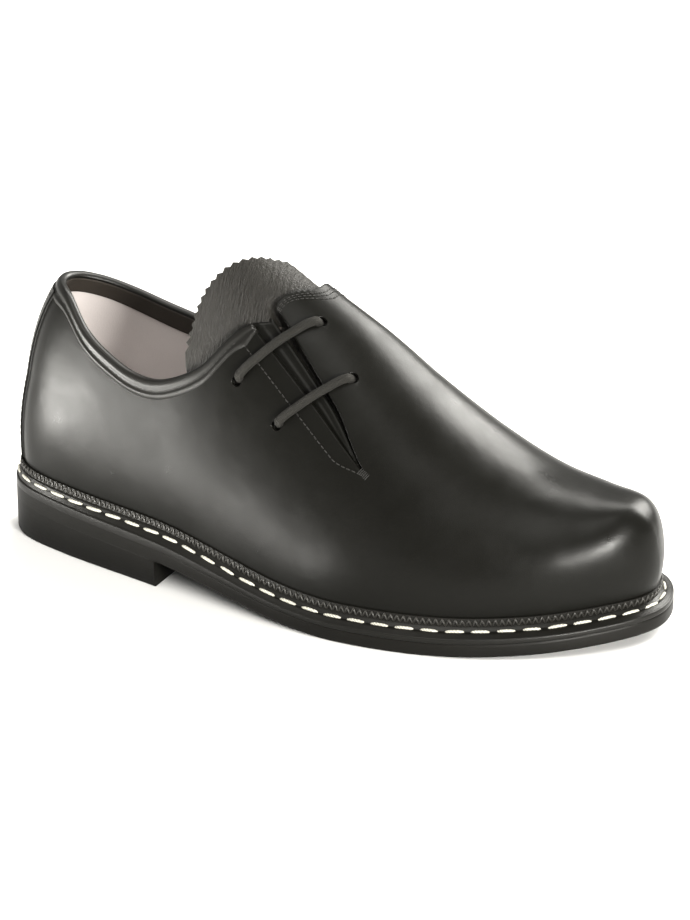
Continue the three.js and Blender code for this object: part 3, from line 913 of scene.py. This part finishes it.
def make_row_tree():
    """Sets copies of a bar along a path, standing on its facing, evenly spaced."""
    tree = bpy.data.node_groups.new("row_along_path", "GeometryNodeTree")
    sockets = {
        "Bar": "NodeSocketObject",
        "Count": "NodeSocketInt",
        "Size": "NodeSocketVector",
        "Slant": "NodeSocketFloat",
        "Unevenness": "NodeSocketFloat",
        "Seed": "NodeSocketInt",
        "Finish": "NodeSocketMaterial",
    }
    face = tree.interface.new_socket
    face("Path", in_out="INPUT", socket_type="NodeSocketGeometry")
    for name, kind in sockets.items():
        face(name, in_out="INPUT", socket_type=kind)
    face("Row", in_out="OUTPUT", socket_type="NodeSocketGeometry")

    def node(kind, settings=None, sockets=None, out=0):
        made = tree.nodes.new(kind)
        for key, value in (settings or {}).items():
            setattr(made, key, value)
        for key, value in (sockets or {}).items():
            if isinstance(value, bpy.types.NodeSocket):
                tree.links.new(value, made.inputs[key])
            else:
                made.inputs[key].default_value = value
        return None if out is None else made.outputs[out]

    given = tree.nodes.new("NodeGroupInput").outputs
    path = node("GeometryNodeMeshToCurve", None, {"Mesh": given["Path"]})
    even = node(
        "GeometryNodeResampleCurve", {"mode": "COUNT"}, {"Curve": path, "Count": given["Count"]}
    )
    facing = node(
        "GeometryNodeInputNamedAttribute", {"data_type": "FLOAT_VECTOR"}, {"Name": "facing"}
    )
    turned = node(
        "FunctionNodeAxesToRotation",
        {"primary_axis": "Z", "secondary_axis": "X"},
        {"Primary Axis": facing, "Secondary Axis": node("GeometryNodeInputTangent")},
    )
    wobble = node(
        "FunctionNodeRandomValue",
        {"data_type": "FLOAT"},
        {2: -1, 3: 1, "Seed": given["Seed"]},
        out=1,
    )
    scaled = {"operation": "MULTIPLY_ADD"}
    slant = node("ShaderNodeMath", scaled, {0: wobble, 1: given["Unevenness"], 2: given["Slant"]})
    swell = node("ShaderNodeMath", scaled, {0: wobble, 1: given["Unevenness"], 2: 1})
    twisted = node(
        "FunctionNodeRotateRotation",
        {"rotation_space": "LOCAL"},
        {"Rotation": turned, "Rotate By": node("ShaderNodeCombineXYZ", None, {"Z": slant})},
    )
    size = node(
        "ShaderNodeVectorMath", {"operation": "SCALE"}, {"Vector": given["Size"], "Scale": swell}
    )
    bar = node("GeometryNodeObjectInfo", None, {"Object": given["Bar"]}, out="Geometry")
    row = node(
        "GeometryNodeInstanceOnPoints",
        None,
        {"Points": even, "Instance": bar, "Rotation": twisted, "Scale": size},
    )
    real = node("GeometryNodeRealizeInstances", None, {"Geometry": row})
    done = node(
        "GeometryNodeSetMaterial", None, {"Geometry": real, "Material": given["Finish"]}
    )
    node("NodeGroupOutput", None, {"Row": done}, out=None)
    return tree


row_tree = make_row_tree()
bar = rounded_bar("bar")

# Stitches: pitch of the row, and length, width and height of one, in millimetres
BINDING_STITCH = 2.1, (1.6, 0.35, 0.3)
STRIP_STITCH = 2.4, (1.8, 0.4, 0.3)
THROAT_STITCH = 1.7, (1.35, 0.36, 0.3)
SLIT_STITCH = 1.9, (1.5, 0.45, 0.36)
TACK_STITCH = 0.62, (2.4, 0.45, 0.36)


def row(name, path, facing, pitch, size, finish, closed=False, slant=0.0, uneven=0.05, seed=1):
    """Turns a path in millimetres into an even row of bars: stitches, ribs or beads."""
    path = np.asarray(path, float)
    length = run_along(np.concatenate([path, path[:1]]) if closed else path)[-1]
    count = max(2, round(length / pitch)) + (0 if closed else 1)
    mesh = bpy.data.meshes.new(name)
    links = [(i, i + 1) for i in range(len(path) - 1)] + ([(len(path) - 1, 0)] if closed else [])
    mesh.from_pydata(in_frame(path).tolist(), links, [])
    layer = mesh.attributes.new("facing", "FLOAT_VECTOR", "POINT")
    layer.data.foreach_set("vector", np.asarray(facing, np.float32).ravel())
    piece = new_object(name, mesh)
    modifier = piece.modifiers.new("row", "NODES")
    modifier.node_group = row_tree
    values = {
        "Bar": bar,
        "Count": count,
        "Size": [side * MM for side in size],
        "Slant": slant,
        "Unevenness": uneven,
        "Seed": seed,
        "Finish": finish,
    }
    for item in row_tree.interface.items_tree:
        if item.in_out == "INPUT" and item.name in values:
            modifier[item.identifier] = values[item.name]
    ready = piece.evaluated_get(bpy.context.evaluated_depsgraph_get())
    made = bpy.data.meshes.new_from_object(ready)
    piece.modifiers.clear()
    piece.data = made
    return piece


def join(name, *pieces):
    """Puts the meshes of several pieces with one finish into one object."""
    with bpy.context.temp_override(
        active_object=pieces[0], selected_editable_objects=list(pieces)
    ):
        bpy.ops.object.join()
    pieces[0].name = name
    return pieces[0]


def path_on_last(share, turn, lift):
    return on_last(share, turn, lift), last_normal(share, turn)


# Upper: one smooth leather wall over a pale lining, cut at the collar, the throat and the slit
UNDER_BINDING = 1.8
BINDING_TIP, BINDING_TAPER = 2.2, 0.75
hole_places = [last_point(*place) for ends in LACE_BARS.values() for place in ends]


def band_width(points):
    """Width of the binding, which narrows to a tip where it reaches the slit."""
    near_slit = BINDING_TIP + BINDING_TAPER * np.maximum(outside_slit(points), 0)
    return np.minimum(BINDING_WIDTH, near_slit)


def outside_holes(points):
    return np.minimum.reduce(
        [np.linalg.norm(points - hole, axis=-1) - HOLE_DIAMETER / 2 for hole in hole_places]
    )


def upper_keeps(points):
    bound = np.where(points[..., 0] < BINDING_END - 1, band_width(points) - UNDER_BINDING, 0.0)
    cut = np.minimum(under_collar(points, bound), outside_slit(points))
    return np.minimum(cut, outside_holes(points))


def last_grid(columns, rows):
    return np.meshgrid(spaced(columns), np.linspace(-1, 1, rows), indexing="ij")


leather_cut = sheet(*last_grid(280, 230), upper_keeps, 0.0, -LEATHER_THICKNESS)
make_piece("upper_leather", leather_cut, upper_finish, "upper_leather", "upper")

LINING_BACK_SET = 0.9
lining_cut = sheet(
    *last_grid(170, 140),
    lambda points: upper_keeps(points) - LINING_BACK_SET,
    -LEATHER_THICKNESS - 0.05,
    -WALL_THICKNESS,
)
make_piece("upper_lining", lining_cut, lining_finish, "lining_fabric")

# Binding: the folded band along the collar, with two ridges and a sewn groove between them
BAND_RIDGES = [(1.3, 1.4, 0.45), (4.6, 0.9, 0.4)]
BAND_LIFT = 0.25
COLLAR_FRONT = 0.47


def collar_drop(share, turn):
    return below_collar(last_point(share, turn))


def band_lift(share, turn):
    points = last_point(share, turn)
    across = below_collar(points) * BINDING_WIDTH / band_width(points)
    ridges = sum(rise * bell(across, place, width) for place, width, rise in BAND_RIDGES)
    return BAND_LIFT * smooth(BINDING_WIDTH + 0.2, BINDING_WIDTH - 0.5, across) + ridges


def under_line(share, side, drop):
    """The turn at which the last lies a drop under the collar line."""
    start = 0.0 * share * drop
    return side * halved(start, start + 1, lambda t: collar_drop(share, side * t) < drop)


def collar_grid(front, columns, drops):
    forward = np.linspace(0, 1, columns) ** 1.5 * front
    rows = []
    for shares, side in ((forward[::-1], -1), (forward, 1)):
        share, drop = np.meshgrid(shares, drops, indexing="ij")
        rows.append((share, under_line(share, side, drop)))
    (back_share, back_turn), (share, turn) = rows
    return np.concatenate([back_share, share]), np.concatenate([back_turn, turn])


def binding_keeps(points):
    width = band_width(points) - below_collar(points)
    ends = np.minimum(BINDING_END - points[..., 0], outside_slit(points))
    return np.minimum.reduce([ends, width, before_throat(points)])


band_cut = sheet(
    *collar_grid(COLLAR_FRONT, 260, np.linspace(0, BINDING_WIDTH + 0.3, 24)),
    binding_keeps,
    band_lift,
    -WALL_THICKNESS - 0.3,
)
make_piece(
    "collar_binding", band_cut, binding_finish, "binding_leather", "collar_binding", sharp=60
)

FACING_DEPTH = 7.2
facing_cut = sheet(
    *collar_grid(COLLAR_FRONT, 150, np.linspace(0.9, FACING_DEPTH, 10)),
    lambda points: binding_keeps(points) + FACING_DEPTH,
    -WALL_THICKNESS + 0.1,
    -WALL_THICKNESS - 0.55,
)
make_piece("collar_facing", facing_cut, facing_finish, "binding_leather", sharp=60)

SEAM_DROP = 3.1
seam_share, seam_turn = (grid[:, 0] for grid in collar_grid(0.4, 160, np.array([SEAM_DROP])))
seam, facing = path_on_last(seam_share, seam_turn, 0.3)
kept = binding_keeps(seam) > 2.5
stitches = row("binding_stitches", seam[kept], facing[kept], *BINDING_STITCH, dark_thread)
dress(stitches, "dark_thread")

# Heel strip: the stay up the back between rim and binding, sewn along both edges
STRIP_SEAM = 1.6
strip_across = np.linspace(-STRIP_WIDTH / 2, STRIP_WIDTH / 2, 28)
strip_up = np.linspace(welt_top(0.0) + RIM_HEIGHT, welt_top(0.0) + QUARTER_HEIGHT - 5.2, 70)


def back_place(across, height):
    """Share and turn of the last's point at a distance from the centre line and a height."""
    across, height = np.broadcast_arrays(across, height)
    side = np.where(across < 0, -1.0, 1.0)
    share, zero = np.abs(across) * 1e-3, 0.0 * across
    for _ in range(6):
        turn = side * halved(zero, zero + 1, lambda t: last_point(share, side * t)[..., 2] > height)
        share = halved(
            zero, zero + 0.06, lambda s: np.abs(last_point(s, turn)[..., 1]) < np.abs(across)
        )
    return np.where(across == 0, 0, share), turn


strip_cut = sheet(
    *back_place(strip_across[:, None], strip_up[None, :]), everywhere, STRIP_THICKNESS, -0.1, 0.3
)
make_piece("heel_strip", strip_cut, upper_finish, "upper_leather", "heel_strip")
edges = []
for side in (-1, 1):
    across = np.full(60, side * (STRIP_WIDTH / 2 - STRIP_SEAM))
    place = back_place(across, np.linspace(strip_up[0], strip_up[-1], 60))
    path, facing = path_on_last(*place, STRIP_THICKNESS - 0.05)
    edges.append(row(f"strip_row_{side}", path, facing, *STRIP_STITCH, dark_thread))
dress(join("heel_strip_stitches", *edges), "dark_thread")


# Tongue: a crinkled sheet under the slit that fans out over the collar with a pinked edge
def closed_curve(points, t):
    """Centripetal Catmull-Rom curve round closed points, t from 0 to 1."""
    at = t * len(points)
    i, w = np.floor(at).astype(int), (at % 1)[:, None]
    p = [points[(i + k) % len(points)] for k in (-1, 0, 1, 2)]
    d = [np.linalg.norm(b - a, axis=1)[:, None] ** 0.5 for a, b in zip(p, p[1:])]
    start = ((p[1] - p[0]) / d[0] - (p[2] - p[0]) / (d[0] + d[1]) + (p[2] - p[1]) / d[1]) * d[1]
    stop = ((p[2] - p[1]) / d[1] - (p[3] - p[1]) / (d[1] + d[2]) + (p[3] - p[2]) / d[2]) * d[1]
    rise = p[2] - p[1]
    square, cube = 3 * rise - 2 * start - stop, start + stop - 2 * rise
    return p[1] + start * w + square * w**2 + cube * w**3


PINKED_STEPS, PLAIN_STEPS, TONGUE_RINGS = 480, 130, 42
CRINKLE_PITCH, CRINKLE_RISE = 2.7, 0.05
GAPE, GAPE_SET, GAPE_WIDTH = 3.0, 1.4, 1.2
tongue_lift = -WALL_THICKNESS - CLEARANCE
tongue_rim = np.array(TONGUE_RIM)
pinked_share = PINKED_POINTS / len(tongue_rim)
even = np.linspace(0, pinked_share, PINKED_STEPS + 1)
rim_place = closed_curve(tongue_rim, even)
rim_points = on_last(*rim_place.T, tongue_lift)
rim_length = run_along(rim_points)
teeth = round(rim_length[-1] / TOOTH_PITCH)
along_rim = np.linspace(0, rim_length[-1], PINKED_STEPS + 1)
rim_place = closed_curve(tongue_rim, np.interp(along_rim, rim_length, even))
tooth = np.abs((along_rim / rim_length[-1] * teeth + 0.5) % 1 * 2 - 1)
plain_place = closed_curve(tongue_rim, np.linspace(pinked_share, 1, PLAIN_STEPS + 1)[1:])
rim_place = np.concatenate([rim_place, plain_place])
rim_cut = np.concatenate([TOOTH_DEPTH * tooth, np.zeros(PLAIN_STEPS)])
tongue_middle = on_last(*TONGUE_MIDDLE, tongue_lift)
rim_reach = np.linalg.norm(on_last(*rim_place.T, tongue_lift) - tongue_middle, axis=1)
scale = np.linspace(0, 1, TONGUE_RINGS)[None, :] ** 0.8
out = scale * (1 - (rim_cut / rim_reach)[:, None] * smooth(0.93, 1, scale))
tongue_share, tongue_turn = (
    lerp(TONGUE_MIDDLE[i], rim_place[:, i][:, None], out) for i in (0, 1)
)


def tongue_dip(share, turn):
    """The tongue sinks beside the front facing, where the slit gapes."""
    points = last_point(share, turn)
    behind, before = facings(points)
    under = smooth(-3, 2, -before_throat(points)) * smooth(0, 2, -behind)
    return GAPE * bell(before, -GAPE_SET, GAPE_WIDTH) * under


def tongue_top(share, turn):
    along, around = share * SOLE_LENGTH, turn * INSTEP_HEIGHT
    bend = 1.6 * np.sin(around / 9.0) + 0.9 * np.sin(around / 4.1 + along / 7.0)  # in millimetres
    crinkle = np.sin(2 * np.pi * (along + bend) / CRINKLE_PITCH) - 1
    return tongue_lift - tongue_dip(share, turn) + CRINKLE_RISE * crinkle


tongue_cut = sheet(
    tongue_share[::-1],
    tongue_turn[::-1],
    everywhere,
    tongue_top,
    lambda share, turn: tongue_lift - TONGUE_THICKNESS - tongue_dip(share, turn),
    0.1,
)
make_piece("tongue", tongue_cut, tongue_finish, "tongue_leather", "tongue", sharp=60)

# Slit stay: a smooth strip on the tongue under the rear facing, its folded edge in the slit
STAY_SHARE, STAY_UNDER, STAY_TUCK, STAY_GAP = 0.68, 3.0, 0.4, 0.25
FOLD_PLACE, FOLD_WIDTH, FOLD_RISE = 0.6, 0.55, 0.3
STAY_RIDGE = (0.24, 0.09, 0.3)


def stay_keeps(points):
    behind, before = facings(points)
    front = behind - (behind + before) * STAY_SHARE
    top = under_collar(points) + STAY_TUCK
    return np.minimum.reduce([front, STAY_UNDER - behind, top, points[..., 2] - slit_foot[1]])


def stay_lift(share, turn):
    points = last_point(share, turn)
    behind, before = facings(points)
    place, width, rise = STAY_RIDGE
    across = behind / np.minimum(behind + before, -0.5)
    ridge = rise * bell(across, place, width)
    fold = FOLD_RISE * bell(stay_keeps(points), FOLD_PLACE, FOLD_WIDTH)
    return -LEATHER_THICKNESS - STAY_GAP + fold + ridge


stay_cut = sheet(
    *np.meshgrid(np.linspace(0.36, 0.66, 150), np.linspace(-0.7, -0.2, 150), indexing="ij"),
    stay_keeps,
    stay_lift,
    tongue_lift - 0.3,
)
make_piece("slit_stay", stay_cut, upper_finish, "upper_leather")

# Laces: a round cord laid over the slit from hole to hole, its ends going down into the holes
LACE_DIVE, LACE_DIVE_STEPS, LACE_DEPTH, LACE_PULL = 0.08, 12, 3.2, 0.45
for name, (back, front) in LACE_BARS.items():
    down = np.linspace(0, LACE_DIVE, LACE_DIVE_STEPS)
    u = np.concatenate([down[:-1], np.linspace(LACE_DIVE, 1 - LACE_DIVE, 30), 1 - down[::-1][1:]])
    dive = smooth(0, LACE_DIVE, np.minimum(u, 1 - u)) ** 0.7
    lift = lerp(-LACE_DEPTH, LACE_DIAMETER / 2 + 0.15, dive)
    path = on_last(lerp(back[0], front[0], u), lerp(back[1], front[1], u), lift)
    chord = lerp(path[LACE_DIVE_STEPS], path[-1 - LACE_DIVE_STEPS], u[:, None])
    path = lerp(path, chord, LACE_PULL * smooth(LACE_DIVE, 0.3, np.minimum(u, 1 - u))[:, None])
    cord = tube(path, LACE_DIAMETER / 2 - 0.12)
    make_piece(name + "_cord", cord, lace_finish, "lace_cord", name)

# Stitches of the upper: three fine rows along the throat, one behind the slit and its bar-tack
THROAT_ROWS, THROAT_ENDS = (2.0, 3.3, 4.9), (-0.27, 0.42)
SLIT_ROW_SET, TACK_ENDS, SEAM_LIFT = (-4.0, -2.6), ((-0.6, 0.4), (1.9, -1.4)), 0.08
throat_turns = np.linspace(*THROAT_ENDS, 90)
rows = []
for gap in THROAT_ROWS:
    low = np.full(len(throat_turns), 0.3)

    def short_of(share, gap=gap):
        point = last_point(share, throat_turns)
        spread = lerp(0.35, 1, smooth(THROAT_ENDS[0], 0, throat_turns))
        return before_throat(point) > -gap * spread

    path, facing = path_on_last(halved(low, low + 0.5, short_of), throat_turns, SEAM_LIFT)
    rows.append(row(f"throat_row_{len(rows)}", path, facing, *THROAT_STITCH, dark_thread))
along = np.linspace(0.06, 1, 70)[:, None]
behind = np.array(SLIT_ROW_SET) * (1 - smooth(0.86, 1.06, along))
line = lerp(slit_back, slit_foot, along) + behind
path, facing = path_on_last(*side_place(*line.T), SEAM_LIFT)
rows.append(row("slit_row", path, facing, *SLIT_STITCH, dark_thread))
line = slit_foot + lerp(*np.array(TACK_ENDS), np.linspace(0, 1, 8)[:, None])
path, facing = path_on_last(*side_place(*line.T), 0.15)
across_tack = {"slant": math.pi / 2, "uneven": 0.03}
rows.append(row("bar_tack", path, facing, *TACK_STITCH, dark_thread, **across_tack))
dress(join("upper_stitches", *rows), "dark_thread")

# Insole: a firm dished footbed that fills the upper's floor
INSOLE_DISH = 0.8
sole_shares = spaced(121)
foot_side = -WALL_THICKNESS - 0.2
bed_low = wall_ring(0.2, foot_side, sole_shares)
bed_high = wall_ring(INSOLE_THICKNESS - 0.5, foot_side, sole_shares)
bed_edge = wall_ring(INSOLE_THICKNESS, foot_side - 0.6, sole_shares)
lateral_half, medial_half = np.split(bed_edge, 2)
centre = (lateral_half + medial_half[::-1]) / 2
inner_rings = []
for shrink in np.linspace(0.92, 0.0, 14):
    pulled = lerp(np.concatenate([centre, centre[::-1]]), bed_edge, shrink)
    pulled[:, 2] -= INSOLE_DISH * (1 - shrink**2)
    inner_rings.append(pulled)
footbed = skin([bed_low, bed_high, bed_edge, *inner_rings], closed=False)
make_piece("insole", footbed, insole_finish, "insole_leather", "insole")

# Welt: a strip all round with a sloping top, a stitch groove and a ribbed rim by the upper
STITCH_SHARE, GROOVE_WIDTH, GROOVE_DEPTH = 0.74, 0.18, 0.35
RIB_RECESS, HEEL_RAISE = 0.55, 0.9
dense = spaced(261)
welt_bottom = OUTSOLE_THICKNESS + CLEARANCE
welt_edge = OUTSOLE_THICKNESS + WELT_THICKNESS
welt_crown = welt_edge + WELT_CROWN
rim_foot = CLEARANCE + RIM_THICKNESS
rim_face = rim_foot - RIM_TAPER - RIB_RECESS
edge_ring = level_ring(0.6, welt_edge, dense, HEEL_RAISE)
# Height of the rim's foot and top over the feather line, before the heel and round it
RIM_FOOT, RIM_TOP = (0.7, 2.9), (4.1, 5.6)


def rim_height(share, up):
    """Height over the feather line of a place between the rim's foot and its top."""
    return lerp(lerp(*RIM_FOOT, at_heel(share)), lerp(*RIM_TOP, at_heel(share)), up)


def rim_ring(up, offset, shares):
    return ring(lambda share, side: wall_point(share, side, rim_height(share, up), offset), shares)


crown_ring = rim_ring(0.0, rim_foot - 0.1, dense)


def slope_ring(share):
    made = lerp(edge_ring, crown_ring, share)
    made[:, 2] -= GROOVE_DEPTH * bell(share, STITCH_SHARE, GROOVE_WIDTH)
    return made


def before_heel(inset, fade):
    """An inset that fades in before the heel, so that no joint shows round the heel."""
    return lambda share: (0 * share, inset * smooth(*fade, share), inset)


WELT_FADE = 0.25, 0.45
welt_rings = [
    level_ring(before_heel(0.25, WELT_FADE), welt_bottom, dense),
    level_ring(before_heel(0.05, WELT_FADE), welt_bottom + 0.15, dense),
    level_ring(0.0, welt_bottom + 0.5, dense),
]
for inset, drop in ((0.0, 0.65), (0.08, 0.3), (0.28, 0.08)):
    welt_rings.append(level_ring(inset, welt_edge - drop, dense, HEEL_RAISE))
welt_rings += [slope_ring(share) for share in np.linspace(0, 1, 15)]
welt_rings += [
    rim_ring(0.1, rim_foot - RIB_RECESS - 0.1, dense),
    rim_ring(0.8, rim_face, dense),
    rim_ring(0.93, rim_face - 0.1, dense),
    rim_ring(0.96, 0.1, dense),
    wall_ring(RIM_HEIGHT / 2, 0.05, dense),
    level_ring(from_feather(0.2), welt_crown - CLEARANCE, dense),
    level_ring(from_feather(WELT_REACH), welt_crown - CLEARANCE, dense),
    level_ring(from_feather(WELT_REACH), welt_bottom, dense),
]
make_piece(
    "welt", skin(welt_rings, closed=True), welt_finish, "welt_leather", "welt", sharp=50
)


def ring_facing(path, over):
    """Outward facing of a closed path, square to it and to a direction over the surface."""
    ahead = np.roll(path, -1, 0) - np.roll(path, 1, 0)
    return unit(np.cross(ahead, over))


def without_doubles(path, *others):
    step = np.linalg.norm(path - np.roll(path, 1, 0), axis=1)
    return [values[step > 1e-4] for values in (path, *others)]


STITCH_COUNT, STITCH_RISE = 63, 0.25
over = slope_ring(1.0) - slope_ring(0.0)
stitch_line, over = without_doubles(slope_ring(STITCH_SHARE), over)
facing = ring_facing(stitch_line, over)
pitch = run_along(np.concatenate([stitch_line, stitch_line[:1]]))[-1] / STITCH_COUNT
path, size = stitch_line + facing * STITCH_RISE, (pitch * 0.74, 1.1, 0.95)
stitches = row("welt_stitches", path, facing, pitch, size, welt_thread, closed=True, uneven=0.06)
dress(stitches, "stitch_thread")

# Rim: two rows of thin bars that lean against each other like a herringbone, all round the upper
RIB_PITCH, RIB_LEAN, RIB_SIZE = 2.15, 0.42, (2.9, 0.62, 1.0)


def even_loop(path, start, steps=1500):
    """Points at even steps round a closed path, from a start along it in millimetres."""
    loop = np.concatenate([path, path[:1]])
    far = run_along(loop)
    at = (np.arange(steps) / steps * far[-1] + start) % far[-1]
    return np.stack([np.interp(at, far, axis) for axis in loop.T], 1)


rib_offset = rim_foot - RIM_TAPER / 2 - RIB_RECESS
over = rim_ring(0.7, 1.0, dense) - rim_ring(0.3, 1.0, dense)
path, over = without_doubles(rim_ring(0.47, rib_offset, dense), over)
# The ribs wear the lighter rib finish, whose colour is a painted highlight on their tops
rib_rows = []
for lean, start in ((RIB_LEAN, 0.0), (-RIB_LEAN, RIB_PITCH / 2)):
    at = even_loop(np.concatenate([path, over], 1), start)
    facing = ring_facing(at[:, :3], at[:, 3:])
    turned = {"closed": True, "slant": math.pi / 2 - lean, "seed": 4}
    rib_rows.append(row("rim_rib", at[:, :3], facing, RIB_PITCH, RIB_SIZE, rib_finish_painted_highlight, **turned))
dress(join("rim_ribs", *rib_rows), "welt_leather")

# Outsole and heel: edges trimmed and blacked together, so that no joint shows at the heel
SOLE_FADE = BREAST - 0.01, BREAST + 0.02
SOLE_EDGE = [(0.9, 0.0), (0.35, 0.15), (0.05, 0.6), (0.0, 1.1), (0.0, OUTSOLE_THICKNESS - 0.5)]
sole_rings = [level_ring(before_heel(inset, SOLE_FADE), lift, dense) for inset, lift in SOLE_EDGE]
for inset, lift in ((0.06, -0.1), (0.25, 0.27)):
    sole_rings.append(level_ring(before_heel(inset, WELT_FADE), OUTSOLE_THICKNESS + lift, dense))
sole_skin = skin(sole_rings, closed=False)
make_piece("outsole", sole_skin, outsole_finish, "outsole_rubber", "outsole")

heel_shares = BREAST * (1 - np.cos(np.pi / 2 * np.linspace(0, 1, 90)))


def heel_ring(inset, share_up):
    """A ring of the heel block between the floor and the underside of the outsole."""
    made = level_ring(inset, -0.03, heel_shares)
    made[:, 2] *= share_up
    return made


HEEL_PROFILE = [(0.8, 0.0), (0.3, 0.02), (0.0, 0.08), (0.0, 0.5), (0.0, 1.0)]
heel_skin = skin([heel_ring(*place) for place in HEEL_PROFILE], closed=False)
make_piece("heel", heel_skin, heel_finish, "heel_rubber", "heel")
bpy.data.objects.remove(bar)

# Plain pale floor and soft studio light
FLOOR_SIZE, FLOOR_TONES = 6.0, ((0.7, 0.7, 0.7), (0.72, 0.72, 0.72))
LIGHT_COLOUR = (1, 0.985, 0.94)


def make_floor():
    half = FLOOR_SIZE / 2
    mesh = bpy.data.meshes.new("floor")
    corners = [(-half, -half, 0), (half, -half, 0), (half, half, 0), (-half, half, 0)]
    mesh.from_pydata(corners, [], [(0, 1, 2, 3)])
    finish = Finish("pale_floor")
    cloud = finish.noise(finish.object_place(), 6, 2)
    colour = finish.blend(cloud, *FLOOR_TONES)
    mesh.materials.append(finish.surface(Base_Color=colour, Roughness=0.75))
    new_object("floor", mesh)


def make_light(name, place, size, power, aim):
    data = bpy.data.lights.new(name, "AREA")
    data.shape = "RECTANGLE"
    data.size, data.size_y = size
    data.energy = power
    data.color = LIGHT_COLOUR
    light = new_object(name, data)
    light.location = place
    light.rotation_euler = (Vector(aim) - Vector(place)).to_track_quat("-Z", "Y").to_euler()


# Soft boxes, in metres: place, size, power and the point that each lights. The two glows lie on
# the floor and face up, for the bright floor that the leather reflects
LIGHTS = {
    "rear_glow": ((-0.262, -0.12, 0.002), (0.14, 0.095), 2.4, (-0.262, -0.12, 1)),
    "side_glow": ((-0.096, -0.1, 0.002), (0.17, 0.035), 0.46, (-0.096, -0.1, 1)),
    "back_box": ((0.55, 1.05, 0.76), (0.75, 0.65), 39, (0.05, 0, 0.05)),
    "top_box": ((-0.05, 0.8, 1.3), (0.7, 0.6), 17, (0, 0, 0)),
    "toe_box": ((1.01, -0.71, 0.375), (0.36, 0.15), 33, (0.1, 0, 0.03)),
    "front_box": ((0.1, -0.61, 1.4), (0.9, 0.9), 14, (0, 0, 0.05)),
}
make_floor()
for name, light in LIGHTS.items():
    make_light(name, *light)
world = bpy.data.worlds.new("studio")
world.use_nodes = True
studio = world.node_tree.nodes["Background"].inputs
studio["Color"].default_value, studio["Strength"].default_value = (1, 0.985, 0.95, 1), 0.66
bpy.context.scene.world = world
bpy.context.scene.view_settings.view_transform = "Standard"
bpy.context.scene.view_settings.gamma = 0.88
